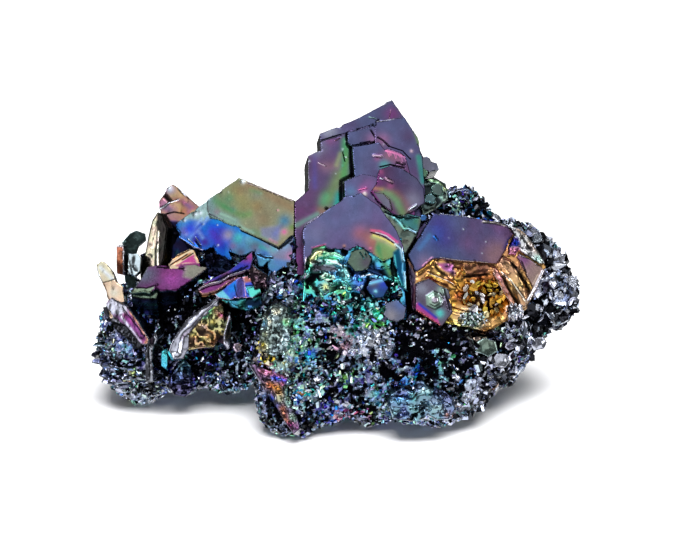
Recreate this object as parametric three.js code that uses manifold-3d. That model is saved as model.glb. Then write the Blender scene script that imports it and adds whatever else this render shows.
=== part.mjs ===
// A carborundum (silicon carbide) crystal cluster: six-sided plates and one tall stepped
// crystal, grown together out of a rough granular crust. It is a single intergrown solid.
//
// Millimetres, +Z up. +X runs along the cluster's length and -Y is the side that the large
// plates face. The cluster rests at Z = 0 on flats worn under its lowest lumps.

import * as THREE from "three";
import { mergeVertices } from "three/addons/utils/BufferGeometryUtils.js";
import Module from "manifold-3d";

const wasm = await Module();
wasm.setup();

// ---- Driving dimensions -------------------------------------------------------------

// The crystals and lumps below are laid out from a point under the tall crystal. This is
// where it lies in the finished part, whose origin is under the middle of its box.
const LAYOUT_START = new THREE.Vector3(0.4, -3.7, 0);

const CRUST_DETAIL = 4; // subdivision of each lump's icosahedron
const RUGGED_DEPTH = 0.8; // how far the crust's surface wanders in and out
const RUGGED_WAVE = 5.5; // mm from one wander to the next
const FLOOR_CUT = 40; // thickness of what is ground off under Z = 0, more than any lump's reach
const CORNER_GAP = 0.005; // corners closer together than this are one corner

// The crust is a heap of lumps, each an ellipsoid with its centre and its three radii.
const CRUST_LUMPS = [
  { name: "left foot", at: [-29.2, 3, 9], radii: [6.3, 7.5, 9.6] },
  { name: "left shoulder", at: [-19, 4.5, 12], radii: [9, 9, 9.6] },
  { name: "core", at: [-3, 5, 14], radii: [13, 11, 14] },
  { name: "tower root", at: [5, 8, 24], radii: [10, 8, 10] },
  { name: "front bulge", at: [-3.5, -5.5, 9.5], radii: [9.5, 9, 10] },
  { name: "front toe", at: [-6.5, -9.3, 4.6], radii: [5.6, 5, 5.5] },
  { name: "front middle", at: [4.5, -5, 9], radii: [7, 8.4, 9.4] },
  { name: "front right", at: [12, -5.3, 8.2], radii: [11, 8.4, 8.6] },
  { name: "right flank", at: [20, 1.5, 10.5], radii: [8.6, 8.2, 8.2] },
  { name: "right lobe", at: [25.2, 7, 16.2], radii: [8.8, 8.5, 9.2] },
  { name: "right tip", at: [30.2, 3, 16], radii: [4.4, 5, 5] },
  { name: "rear ridge", at: [17.2, 9, 23.2], radii: [6.2, 6, 7.8] },
  { name: "ridge saddle", at: [21, 8.5, 21], radii: [5, 6, 6.4] },
  { name: "right ridge", at: [24.5, 8, 19.6], radii: [6.8, 7, 6.6] },
  { name: "back left", at: [-9, 12, 10.4], radii: [12, 8.4, 11] },
  { name: "back right", at: [8, 12.5, 11.4], radii: [12, 8.4, 12] },
  { name: "back end", at: [-21, 9, 10.6], radii: [8.5, 7.5, 9.6] },
  { name: "back corner", at: [20, 9.5, 11], radii: [8.5, 8, 9] },
];

// The tall crystal is a stack of slabs with one facing. A slab's step is how far its face
// stands forward of the rearmost face, and its outline is across and up that face.
const TOWER = { at: [1.4, 6, 32.7], azimuth: 6, lean: 28, thickness: 6 };
const TOWER_SLABS = [
  { name: "rear peak", step: 0, outline: [[-4.3, -9], [11, -9], [11, 3], [8.5, 9], [6.8, 12], [-4, 7]] },
  {
    name: "left column",
    step: 1,
    outline: [
      [-8.5, -14], [3.5, -14], [3.5, 8.2], [-4, 5.4],
      [-4, 4.5], [-6, 3.5], [-6.2, -1.5], [-8.2, -3.2],
    ],
  },
  { name: "upper scale", step: 2, outline: [[0, -2], [4.4, -2], [4.4, 7.6], [0, 6]] },
  { name: "right scale", step: 2, outline: [[4, -3], [10.6, -3], [10.5, 3], [10, 5.5], [8, 8.6], [4, 8]] },
  { name: "middle slab", step: 3, outline: [[0.5, -9], [9, -9], [8.5, 0], [7, 3], [4, 4.5], [0.5, 3.5]] },
  { name: "middle ledge", step: 3.6, outline: [[-1, -9], [4, -9], [3, -1], [0, -0.5], [-1, -1]] },
  {
    name: "right face",
    step: 4.1,
    outline: [[5, -6], [7.5, -6.5], [11.5, -5], [11.6, -3.5], [11, -0.5], [8, 1.5], [5, 0], [4, -2.5]],
  },
  {
    name: "front slab",
    step: 5,
    outline: [
      [-8, -22], [6.5, -22], [7, -13], [6.5, -10], [3.5, -5],
      [1, -3], [-1.5, -3.5], [-3.5, -5], [-7.5, -7.5],
    ],
  },
  {
    name: "side flake",
    step: 1,
    outline: [[10, -6], [12, -5], [14.2, -3.5], [14.2, -1.6], [12.5, 0.8], [11.7, 2.8], [10, 3]],
  },
  { name: "under ledge", step: 3.5, outline: [[3, -13], [7, -13], [9, -8], [3, -4.5]] },
];

// Every other crystal is one plate, or a few plates stacked like the tower's. Azimuth
// turns its face from -Y towards +X, lean tips the face up, and outlines are across and up
// the face from the crystal's place.
const CRYSTALS = [
  {
    name: "broad left plate",
    at: [-14.6, 3, 27.3],
    azimuth: -10,
    lean: 30,
    thickness: 3.2,
    slabs: [
      { step: 0, outline: [[-9, -0.5], [-6, -5], [0, -9], [8, -9], [8, 3.5], [-0.5, 6.5], [-6, 2]] },
      { step: 0.5, outline: [[-6, 2], [-2, 0], [3, -2], [6, -3], [8, -1], [8, 3.5], [-0.5, 6.5]] },
    ],
  },
  {
    name: "hopper crystal",
    at: [19.1, -2, 21.6],
    azimuth: 10,
    lean: 32,
    thickness: 9,
    slabs: [
      {
        step: 0,
        outline: [
          [-5, 8.5], [6.5, 6], [10.5, 0], [7, -6],
          [0.5, -9], [-6, -7.5], [-9.6, -5], [-9.5, 2.5],
        ],
      },
      { step: 0.9, outline: [[-5, 8.5], [6.5, 6], [6, 4.5], [3, 0.5], [-5, 2], [-8.5, 0], [-9.5, 2.5]] },
      { step: 0.6, outline: [[6, 2.4], [9, 2.2], [10.5, 0], [7, -6], [5.5, -3.5]] },
      {
        step: 1.3,
        outline: [[-8.7, -1.2], [-6.3, -0.4], [-4.4, -2], [-4.4, -6], [-6.3, -7.5], [-9.3, -5.4]],
      },
    ],
  },
  {
    name: "low plate",
    at: [-24.4, -2, 19.9],
    azimuth: 0,
    lean: 60,
    thickness: 6,
    slabs: [{ step: 0, outline: [[-5, -2.5], [-1, -3], [1, -1.5], [4, 2], [5, 3.5], [0, 3.5], [-3.5, 3]] }],
  },
  {
    name: "ribbed chip",
    at: [-21.5, 1.5, 22.4],
    azimuth: 12,
    lean: 32,
    thickness: 4,
    slabs: [{ step: 0, outline: [[-1.8, -4], [1.8, -4], [1.8, -0.4], [0.4, 1.6], [-1.6, 0.6]] }],
  },
  {
    name: "pale blade",
    at: [-33, 1.5, 19.4],
    azimuth: -20,
    lean: 20,
    thickness: 2.2,
    slabs: [
      {
        step: 0,
        outline: [[-2, 2], [-1.2, 2.6], [0, 1.2], [1.5, -0.5], [2.6, -2.4], [2.6, -6], [0, -6], [-1.5, 0]],
      },
    ],
  },
  {
    name: "slanting blade",
    at: [-29.6, -3.2, 13.9],
    azimuth: -45,
    lean: 15,
    thickness: 1.8,
    slabs: [{ step: 0, outline: [[-4, 1.5], [-2, 2.1], [3, 0], [4.2, -1.6], [3.2, -2.2], [-1.5, -0.6]] }],
  },
  {
    name: "rear plate",
    at: [-23.3, 8, 28.4],
    azimuth: -10,
    lean: 25,
    thickness: 2,
    slabs: [{ step: 0, outline: [[-3, -9], [3.4, -9], [3.4, -0.2], [-1, 3.1], [-1.6, 2.8], [-3, -1]] }],
  },
  {
    name: "upright blade",
    at: [-26.4, 5, 24.7],
    azimuth: -60,
    lean: 10,
    thickness: 1.6,
    slabs: [{ step: 0, outline: [[-2.4, -7], [2.8, -7], [2.6, -2.5], [0.5, 1], [-1, 2.8], [-2.4, 1.6]] }],
  },
  {
    name: "dark block",
    at: [-24.6, 5, 23.2],
    azimuth: 20,
    lean: 15,
    thickness: 3,
    slabs: [{ step: 0, outline: [[-1.5, -6], [1.5, -6], [1.5, 2.4], [0.4, 3], [-1.5, 2.2]] }],
  },
  {
    name: "left dark column",
    at: [-30.4, 7, 22.4],
    azimuth: 5,
    lean: 20,
    thickness: 3,
    slabs: [{ step: 0, outline: [[0, -8], [3.2, -8], [3.4, 1.2], [2.4, 2.3], [0.4, 1.7]] }],
  },
  {
    name: "left red column",
    at: [-31.3, 5, 21],
    azimuth: -12,
    lean: 12,
    thickness: 2,
    slabs: [{ step: 0, outline: [[-0.7, -6], [0.7, -6], [0.7, 1.5], [-0.6, 1.8]] }],
  },
  {
    name: "left white column",
    at: [-29.3, 3.5, 20.7],
    azimuth: 14,
    lean: 15,
    thickness: 2.2,
    slabs: [{ step: 0, outline: [[-1, -6], [1.1, -6], [1.2, 0.4], [0.2, 1.3], [-1, 0.9]] }],
  },
  {
    name: "roof blade",
    at: [-15.8, -4, 21.6],
    azimuth: 0,
    lean: 62,
    thickness: 1.2,
    slabs: [
      {
        step: 0,
        outline: [[-4, -3], [-3.5, -2], [1.5, 2.5], [3.6, 4.5], [3.6, 1], [1, 0], [-1.5, -3], [-3.5, -4]],
      },
    ],
  },
  {
    name: "blue wedge",
    at: [-14.8, -5, 19.7],
    azimuth: 10,
    lean: 25,
    thickness: 8,
    slabs: [{ step: 0, outline: [[-3, 0], [2.5, 2.5], [4, 0], [3, -5], [-2.5, -5]] }],
  },
  {
    name: "rounded blade",
    at: [-19.7, -6, 14.4],
    azimuth: 20,
    lean: 20,
    thickness: 3,
    slabs: [
      {
        step: 0,
        outline: [[3.5, 4.4], [4, 0.5], [2, -2.4], [-2.4, -4.2], [-3.8, -4.6], [-4.7, -3.6], [-4, -2.2]],
      },
    ],
  },
  {
    name: "spear",
    at: [-16.1, -5.8, 12.9],
    azimuth: 30,
    lean: 10,
    thickness: 2,
    slabs: [{ step: 0, outline: [[-0.5, -2.4], [0.5, -2.4], [0.6, 0.4], [0, 2.3], [-0.5, 0.5]] }],
  },
  {
    name: "toe plate",
    at: [-9.1, -11.4, 6.8],
    azimuth: -25,
    lean: 10,
    thickness: 4,
    slabs: [{ step: 0, outline: [[-4.4, 3.8], [1.6, 4.2], [3.4, 0], [4.3, -5.4], [2.2, -5.8]] }],
  },
];

// Plain six-sided plates: place, azimuth and lean as above, and the hexagon's corner radius.
const HEXAGONS = [
  { name: "crust disc", at: [-9.2, -9.8, 15.4], azimuth: -20, lean: 25, radius: 3, thickness: 3 },
  { name: "crust hexagon", at: [7.6, -9.4, 16.2], azimuth: 10, lean: 20, radius: 1.8, thickness: 3 },
  { name: "tower foot hexagon", at: [2.3, -5.3, 23.8], azimuth: 6, lean: 28, radius: 1.7, thickness: 2 },
  { name: "right flake", at: [28.8, 0, 9.8], azimuth: 20, lean: 10, radius: 1.5, thickness: 4 },
  { name: "back plate", at: [-6, 19.2, 17.5], azimuth: 165, lean: 30, radius: 6.5, thickness: 4 },
  { name: "back middle plate", at: [7.5, 20.4, 16.5], azimuth: 188, lean: 22, radius: 5, thickness: 4 },
  { name: "back left plate", at: [-20, 15.5, 16.5], azimuth: 150, lean: 35, radius: 4.4, thickness: 3.5 },
  { name: "back right plate", at: [19.5, 16.4, 15.5], azimuth: 200, lean: 28, radius: 4.2, thickness: 3.5 },
];
const HEXAGON_SIDES = 6;

// ---- Solids -------------------------------------------------------------------------

/** A closed three.js geometry as a manifold-3d solid. */
function solidOf(geometry) {
  const bare = geometry.clone();
  bare.deleteAttribute("normal");
  bare.deleteAttribute("uv");
  const merged = mergeVertices(bare, 1e-4);
  return new wasm.Manifold(
    new wasm.Mesh({
      numProp: 3,
      vertProperties: new Float32Array(merged.attributes.position.array),
      triVerts: new Uint32Array(merged.index.array),
    }),
  );
}

/** The largest set of triangles that touch one another: pockets inside the heap are filled. */
function outerSkin(triangles, cornerCount) {
  const parent = Array.from({ length: cornerCount }, (_, i) => i);
  const root = (i) => {
    while (parent[i] !== i) i = parent[i] = parent[parent[i]];
    return i;
  };
  for (const [a, b, c] of triangles) {
    parent[root(b)] = root(a);
    parent[root(c)] = root(a);
  }
  const skins = [...Map.groupBy(triangles, ([a]) => root(a)).values()];
  return skins.reduce((largest, skin) => (skin.length > largest.length ? skin : largest));
}

/** A manifold-3d solid as a three.js geometry, without the slivers that joins leave. */
function geometryOf(solid) {
  const { vertProperties, triVerts } = solid.getMesh();
  const geometry = new THREE.BufferGeometry();
  geometry.setAttribute("position", new THREE.BufferAttribute(vertProperties, 3));
  geometry.setIndex(new THREE.BufferAttribute(triVerts, 1));
  const merged = mergeVertices(geometry, CORNER_GAP);
  const corners = Array.from(merged.index.array);
  const triangles = Array.from({ length: corners.length / 3 }, (_, i) => corners.slice(3 * i, 3 * i + 3));
  const whole = triangles.filter((triangle) => new Set(triangle).size === 3);
  merged.setIndex(outerSkin(whole, merged.attributes.position.count).flat());
  return merged;
}

/** How far the crust stands out at a point: three waves that never line up. */
function ruggedness(p) {
  const k = (2 * Math.PI) / RUGGED_WAVE;
  const waves = [p.x + 0.4 * p.y, 0.8 * p.y - 0.5 * p.z, p.z + 0.3 * p.x].map((s) => Math.sin(k * s));
  return (RUGGED_DEPTH * (waves[0] + waves[1] + waves[2])) / waves.length;
}

/** One lump of crust. */
function lump({ at, radii }) {
  const geometry = new THREE.IcosahedronGeometry(1, CRUST_DETAIL);
  geometry.scale(...radii);
  geometry.translate(...at);
  const centre = new THREE.Vector3(...at);
  const place = geometry.attributes.position;
  const point = new THREE.Vector3();
  for (let i = 0; i < place.count; i++) {
    point.fromBufferAttribute(place, i);
    const outwards = point.clone().sub(centre).normalize();
    point.addScaledVector(outwards, ruggedness(point));
    place.setXYZ(i, ...point);
  }
  return solidOf(geometry);
}

/** The frame of a crystal's face: X across it, Y up it and Z straight out of it. */
function faceFrame({ at, azimuth, lean }) {
  const turn = THREE.MathUtils.degToRad(azimuth);
  const tip = THREE.MathUtils.degToRad(lean);
  const across = new THREE.Vector3(Math.cos(turn), Math.sin(turn), 0);
  const level = new THREE.Vector3(Math.sin(turn), -Math.cos(turn), 0);
  const out = level.multiplyScalar(Math.cos(tip)).setZ(Math.sin(tip));
  const up = out.clone().cross(across);
  return new THREE.Matrix4().makeBasis(across, up, out).setPosition(...at);
}

/** A flat-sided slab whose front face lies `step` in front of the frame's plane. */
function slab(outline, thickness, step, frame) {
  const shape = new THREE.Shape(outline.map(([across, up]) => new THREE.Vector2(across, up)));
  const geometry = new THREE.ExtrudeGeometry(shape, { depth: thickness + step, bevelEnabled: false });
  geometry.translate(0, 0, -thickness);
  geometry.applyMatrix4(frame);
  return solidOf(geometry);
}

/** The slabs of one crystal. */
function crystal({ at, azimuth, lean, thickness, slabs }) {
  const frame = faceFrame({ at, azimuth, lean });
  return slabs.map(({ step, outline }) => slab(outline, thickness, step, frame));
}

/** The one slab of a plain six-sided plate, which stands on a corner. */
function hexagon({ radius, ...place }) {
  const outline = Array.from({ length: HEXAGON_SIDES }, (_, i) => {
    const angle = Math.PI / 2 + (i * 2 * Math.PI) / HEXAGON_SIDES;
    return [radius * Math.cos(angle), radius * Math.sin(angle)];
  });
  return crystal({ ...place, slabs: [{ step: 0, outline }] });
}

/** What lies under the surface that the cluster rests on. */
function underFloor() {
  const wide = 200;
  const geometry = new THREE.BoxGeometry(wide, wide, FLOOR_CUT);
  geometry.translate(0, 0, -FLOOR_CUT / 2);
  return solidOf(geometry);
}

// ---- The cluster --------------------------------------------------------------------

const pieces = [
  ...CRUST_LUMPS.map(lump),
  ...crystal({ ...TOWER, slabs: TOWER_SLABS }),
  ...CRYSTALS.flatMap(crystal),
  ...HEXAGONS.flatMap(hexagon),
];
const grown = pieces.reduce((whole, piece) => whole.add(piece));
const cluster = new THREE.Mesh(
  geometryOf(grown.subtract(underFloor())),
  new THREE.MeshStandardMaterial({ color: "#3d3a4c", roughness: 0.3, metalness: 0.6 }),
);
cluster.name = "carborundum_cluster";
cluster.position.copy(LAYOUT_START);

const group = new THREE.Group();
group.add(cluster);
export default group;
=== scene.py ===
"""A carborundum crystal cluster: plates of silicon carbide grown out of a granular crust.

Silicon carbide from a furnace is black and very shiny. An oxide film a few hundred
nanometres thick colours it, and each thickness of film has its own colour. Every piece
here carries a coat on its surface: the colour that its film shows, and a sheen from
black to bright, which gives how clean the surface is and also carries painted shade in
gaps and hollows and painted highlights along some edges.
"""

import logging
import math
import re
from collections.abc import Callable, Iterator, Sequence
from dataclasses import dataclass, field
from enum import Enum
from typing import Protocol

import bpy
import numpy as np
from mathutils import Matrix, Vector, geometry


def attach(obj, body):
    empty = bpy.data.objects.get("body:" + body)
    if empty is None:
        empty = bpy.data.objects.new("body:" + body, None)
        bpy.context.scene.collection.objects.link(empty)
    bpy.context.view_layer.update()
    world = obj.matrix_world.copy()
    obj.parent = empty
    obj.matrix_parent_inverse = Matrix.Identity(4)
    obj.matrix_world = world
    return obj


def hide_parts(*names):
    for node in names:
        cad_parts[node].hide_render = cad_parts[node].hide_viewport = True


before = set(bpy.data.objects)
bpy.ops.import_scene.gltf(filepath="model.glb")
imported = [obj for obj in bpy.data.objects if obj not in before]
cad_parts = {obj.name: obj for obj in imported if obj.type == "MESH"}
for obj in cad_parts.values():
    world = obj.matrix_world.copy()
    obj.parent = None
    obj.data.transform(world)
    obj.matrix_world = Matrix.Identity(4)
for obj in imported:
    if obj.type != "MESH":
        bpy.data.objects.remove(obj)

log = logging.getLogger("carborundum")

MM = 0.001
CAD_NODE = "carborundum_cluster"
BODY = "root"
# The shapes are laid out from a point under the tall crystal. This is where it lies in
# the frame, whose origin is under the middle of the cluster's box.
LAYOUT_START_MM = np.array((0.4, -3.7, 0.0))
FLOOR_CLEARANCE_MM = 0.05

Point = tuple[float, float]
Place = tuple[float, float, float]


class Slot(Enum):
    """The record's material slots."""

    CRYSTAL = "iridescent_crystal"
    CRUST = "granular_crust"


# ---- Colour -------------------------------------------------------------------------


def linear(colour: str) -> tuple[float, float, float, float]:
    """Turns an sRGB hex colour to the linear one that shaders use.

    Args:
        colour: such as "#4a35a8".

    Returns:
        Linear red, green, blue and an alpha of one.
    """
    shares = [int(colour[i : i + 2], 16) / 255 for i in (1, 3, 5)]
    red, green, blue = (s / 12.92 if s <= 0.04045 else ((s + 0.055) / 1.055) ** 2.4 for s in shares)
    return red, green, blue, 1.0


# The colours that an oxide film shows on silicon carbide, by its thickness in
# nanometres: blue, teal, green, gold, rose, and the muted violets of a thick film.
FILM_COLOURS = {
    300: "#4a35a8",
    309: "#1f4fd8",
    320: "#2a92e6",
    332: "#2cccd2",
    346: "#4cdca2",
    362: "#9cd45c",
    374: "#bcc058",
    386: "#dcc84e",
    396: "#e2ac48",
    410: "#c88440",
    424: "#b8604c",
    438: "#d8559a",
    450: "#984898",
    462: "#70507a",
    474: "#645a86",
    486: "#606690",
    500: "#566494",
}
BARE_COLOUR = "#dfe5f4"


def film_colour(nm: np.ndarray, tint: np.ndarray) -> np.ndarray:
    """Gives the colours of oxide films.

    Args:
        nm: (N,) film thicknesses in nanometres.
        tint: (N,) how much of the film's colour shows over bright bare crystal.

    Returns:
        (N, 3) linear colours.
    """
    known = sorted(FILM_COLOURS)
    table = np.array([linear(FILM_COLOURS[step])[:3] for step in known])
    film = np.stack([np.interp(nm, known, table[:, i]) for i in range(3)], axis=-1)
    bare = np.array(linear(BARE_COLOUR)[:3])
    return bare + (film - bare) * np.clip(tint, 0, 1)[..., None]


# ---- Random fields ------------------------------------------------------------------


def lattice_value(cells: np.ndarray, seed: int) -> np.ndarray:
    """Gives each whole-numbered cell a fixed value that looks random.

    Args:
        cells: (N, 2) or (N, 3) whole numbers.
        seed: which set of values to give.

    Returns:
        (N,) values from 0 to 1.
    """
    mask = 0xFFFFFFFF
    steps = np.array((73856093, 19349663, 83492791))[: cells.shape[1]]
    key = ((cells @ steps + seed * 1013904223) & mask).astype(np.uint64)
    key = ((key ^ (key >> np.uint64(15))) * np.uint64(2246822519)) & np.uint64(mask)
    key = ((key ^ (key >> np.uint64(13))) * np.uint64(3266489917)) & np.uint64(mask)
    return (key ^ (key >> np.uint64(16))).astype(float) / mask


def drift(points: np.ndarray, cell: float, seed: int) -> np.ndarray:
    """Gives a smooth random field that changes over about one cell.

    Args:
        points: (N, 2) or (N, 3) points in millimetres.
        cell: the distance over which the field changes, in millimetres.
        seed: which field to give.

    Returns:
        (N,) values from 0 to 1.
    """
    place = points / cell
    base = np.floor(place).astype(np.int64)
    part = place - base
    part = part * part * (3 - 2 * part)
    total = np.zeros(len(points))
    for corner in np.ndindex(*(2,) * points.shape[1]):
        step = np.array(corner)
        weight = np.where(step, part, 1 - part).prod(axis=1)
        total += weight * lattice_value(base + step, seed)
    return total


def worms(points: np.ndarray, cell: float, seed: int) -> np.ndarray:
    """Gives a field whose high values run in winding ribbons.

    Args:
        points: (N, 2) or (N, 3) points in millimetres.
        cell: the distance between ribbons, in millimetres.
        seed: which field to give.

    Returns:
        (N,) values spread evenly from 0 to 1.
    """
    broad = 1 - np.abs(2 * drift(points, cell, seed) - 1)
    fine = 1 - np.abs(2 * drift(points, cell / 2, seed + 1) - 1)
    height = 0.62 * broad + 0.38 * fine
    spread = np.sort(height)
    return np.searchsorted(spread, height) / max(len(height), 1)


def ease(value: np.ndarray, low: float, high: float) -> np.ndarray:
    """Gives 0 below low, 1 above high and a smooth rise between them."""
    share = np.clip((value - low) / (high - low), 0, 1)
    return share * share * (3 - 2 * share)


# ---- Meshes in the making -----------------------------------------------------------


@dataclass
class Skin:
    """A mesh in the making, in the layout's millimetres, with its coat.

    The coat is a linear colour and a sheen for each corner or, if per_face is set,
    for each triangle. The sheen gives cleanness, and painted shade and painted highlights
    where those are drawn.
    """

    per_face: bool = False
    corners: list[np.ndarray] = field(default_factory=list)
    triangles: list[np.ndarray] = field(default_factory=list)
    coats: list[np.ndarray] = field(default_factory=list)
    count: int = 0

    def add(self, corners: np.ndarray, triangles: np.ndarray, coats: np.ndarray) -> None:
        """Adds a patch.

        Args:
            corners: (N, 3) points.
            triangles: (M, 3) indices into the points.
            coats: (N, 4), or (M, 4) on a skin per face, of colour and sheen.
        """
        self.corners.append(corners)
        self.triangles.append(triangles + self.count)
        self.coats.append(coats)
        self.count += len(corners)

    def make(self, name: str, finish: "Finish", slot: Slot, crease_deg: float) -> bpy.types.Object:
        """Makes the object.

        Args:
            name: the piece's name.
            finish: the finish it wears.
            slot: the record's material slot; not used.
            crease_deg: edges sharper than this stay sharp in the shading.

        Returns:
            The object, riding on the cluster's body in place of its solid.
        """
        corners = (np.concatenate(self.corners) + LAYOUT_START_MM) * MM
        corners[:, 2] = np.maximum(corners[:, 2], FLOOR_CLEARANCE_MM * MM)
        triangles = np.concatenate(self.triangles)
        coats = np.concatenate(self.coats).astype(np.float32)
        mesh = bpy.data.meshes.new(name)
        mesh.from_pydata(corners.tolist(), [], triangles.tolist())
        if self.per_face:
            coats = coats.repeat(3, axis=0)
        layer = mesh.attributes.new("coat", "FLOAT_COLOR", "CORNER" if self.per_face else "POINT")
        layer.data.foreach_set("color", np.clip(coats, 0, 1).ravel())
        mesh.polygons.foreach_set("use_smooth", np.full(len(triangles), not self.per_face))
        if not self.per_face:
            mesh.set_sharp_from_angle(angle=math.radians(crease_deg))
        mesh.materials.append(finish.material())
        piece = bpy.data.objects.new(name, mesh)
        bpy.context.scene.collection.objects.link(piece)
        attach(piece, BODY)
        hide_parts(CAD_NODE)
        log.info("%s: %d triangles", name, len(triangles))
        return piece


# ---- What a crystal's face carries --------------------------------------------------


@dataclass(frozen=True)
class Film:
    """How a coated surface looks, where None leaves a value as it was.

    Tint is how much of the film's colour shows over bright bare crystal. Sheen runs
    from 0, black, to 1, bright: it gives how clean the surface is, and it also carries
    painted shade in gaps, hollows and on dark sides and painted highlights on bright edges.
    """

    nm: float | None = None
    tint: float | None = None
    sheen: float | None = None


# Films by the name of the colour they show.
FILMS = {
    "azure": Film(321, 0.8),
    "teal": Film(333, 0.9),
    "sea": Film(345, 0.9),
    "gold": Film(397, 0.9, 1.0),
    "amber": Film(408, 0.9),
    "rust": Film(423, 0.8, 0.7),
    "pink": Film(439, 0.9, 1.0),
    "plum": Film(449, 0.9),
    "violet": Film(462),
    "slate": Film(492, 0.8),
    "blue": Film(310, 0.9),
    "silver": Film(334, 0.1, 1.0),
    "cream": Film(388, 0.3, 1.0),
    "black": Film(sheen=0.01),
    "dim": Film(sheen=0.4),
}
SILVER = FILMS["silver"]
BLACK = FILMS["black"]


def segment_distance(points: np.ndarray, starts: np.ndarray, ends: np.ndarray) -> np.ndarray:
    """Gives each point's distance to the nearest of some segments.

    Args:
        points: (N, 2) points.
        starts: (M, 2) where the segments start.
        ends: (M, 2) where they end.

    Returns:
        (N,) distances.
    """
    nearest = np.full(len(points), np.inf)
    for start, run in zip(starts, ends - starts, strict=True):
        away = points - start
        share = np.clip(away @ run / max(float(run @ run), 1e-12), 0, 1)
        nearest = np.minimum(nearest, np.hypot(*(away - share[:, None] * run).T))
    return nearest


def inside(points: np.ndarray, outline: np.ndarray) -> np.ndarray:
    """Tells which points lie within a closed outline.

    Args:
        points: (N, 2) points.
        outline: (M, 2) corners, in order.

    Returns:
        (N,) truth values.
    """
    crossed = np.zeros(len(points), bool)
    x, y = points.T
    for (x0, y0), (x1, y1) in zip(outline, np.roll(outline, -1, axis=0), strict=True):
        if y0 != y1:
            crossed ^= ((y0 > y) != (y1 > y)) & (x < (x1 - x0) * (y - y0) / (y1 - y0) + x0)
    return crossed


@dataclass
class Surface:
    """The values at each point of one face, with the patches laid over them."""

    lift: np.ndarray
    nm: np.ndarray
    tint: np.ndarray
    sheen: np.ndarray
    swing: np.ndarray
    patches: list[tuple[np.ndarray, Film]] = field(default_factory=list)

    def lay(self, weight: np.ndarray, film: Film) -> None:
        """Lays a patch of film over the face.

        Args:
            weight: (N,) how much of it shows at each point, from 0 to 1.
            film: the film.
        """
        if film.nm is not None or film.tint is not None:
            self.patches.append((weight, film))
        if film.sheen is not None:
            self.sheen += (film.sheen - self.sheen) * weight

    def colour(self) -> np.ndarray:
        """Gives the film's colour at each point, patches and all."""
        shown = film_colour(self.nm + self.swing, self.tint)
        for weight, film in self.patches:
            nm = (self.nm if film.nm is None else film.nm) + self.swing
            tint = self.tint if film.tint is None else np.full(len(weight), film.tint)
            shown += (film_colour(nm, tint) - shown) * weight[:, None]
        return shown


class Detail(Protocol):
    """Anything that can be put on a face."""

    def mark(self, uv: np.ndarray, surface: Surface) -> None:
        """Changes the surface at the points uv."""


@dataclass(frozen=True)
class Mark:
    """A band along a path, or round one point.

    Lift raises it, show is how much of its film shows, and firm is how steep its sides
    are: 1 for a soft glow and 3 for a drawn line.
    """

    path: Sequence[Point]
    width: float
    film: Film = Film()
    lift: float = 0.0
    show: float = 1.0
    firm: float = 1.0

    def seeds(self) -> np.ndarray:
        """Gives mesh points along and beside the band, so that it comes out crisp."""
        rows = []
        for start, end in zip(np.array(self.path[:-1]), np.array(self.path[1:]), strict=True):
            run = end - start
            length = float(np.hypot(*run))
            pieces = math.ceil(length / max(0.15, 2.5 * self.width))
            along = start + run * np.linspace(0, 1, pieces + 1)[:, None]
            side = np.array((-run[1], run[0])) / length * self.width
            rows += [along + side * i for i in (-1.6, -0.8, 0, 0.8, 1.6)]
        return np.concatenate(rows)

    def mark(self, uv: np.ndarray, surface: Surface) -> None:
        """Lays the band, which fades away from its centre line."""
        path = np.array(self.path, float)
        starts = path[:-1] if len(path) > 1 else path
        distance = segment_distance(uv, starts, path[-len(starts) :])
        weight = np.exp(-((distance / self.width) ** (2 * self.firm)))
        surface.lay(weight * self.show, self.film)
        surface.lift += self.lift * weight


@dataclass(frozen=True)
class Area:
    """A patch with an outline, soft at its edge, which may slope as a facet does."""

    outline: Sequence[Point]
    film: Film
    soft: float = 0.4
    lift: float = 0.0
    slope: Point = (0.0, 0.0)

    def mark(self, uv: np.ndarray, surface: Surface) -> None:
        """Lays the patch and slopes it."""
        outline = np.array(self.outline)
        deep = segment_distance(uv, outline, np.roll(outline, -1, axis=0))
        weight = ease(np.where(inside(uv, outline), deep, -deep), -self.soft / 2, self.soft / 2)
        surface.lay(weight, self.film)
        rise = self.lift + (uv - outline.mean(axis=0)) @ np.array(self.slope)
        surface.lift += weight * rise


@dataclass(frozen=True)
class Treads:
    """Growth steps: level treads whose edges wander as contour lines do."""

    seed: int
    cell: float = 3.0
    rise: float = 0.006
    steps: float = 4.0
    nm_a_step: float = 2.3

    def mark(self, uv: np.ndarray, surface: Surface) -> None:
        """Raises the treads and gives each its own film."""
        height = drift(uv, self.cell, self.seed) * self.steps
        tread = np.floor(height) + ease(height % 1.0, 0.82, 1.0)
        surface.lift += self.rise * tread
        surface.swing += self.nm_a_step * (tread - self.steps / 2)


@dataclass(frozen=True)
class Crumple:
    """A melted-looking surface of soft dips and swells."""

    seed: int
    cell: float = 1.5
    depth: float = 0.2
    swing_nm: float = 8.0

    def mark(self, uv: np.ndarray, surface: Surface) -> None:
        """Swells the surface and thins the film in its dips."""
        swell = drift(uv, self.cell, self.seed) - 0.5
        fine = drift(uv, self.cell / 2.6, self.seed + 1) - 0.5
        surface.lift += 2 * self.depth * (swell + 0.4 * fine)
        surface.swing += 2 * self.swing_nm * (swell + 0.3 * fine)


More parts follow.
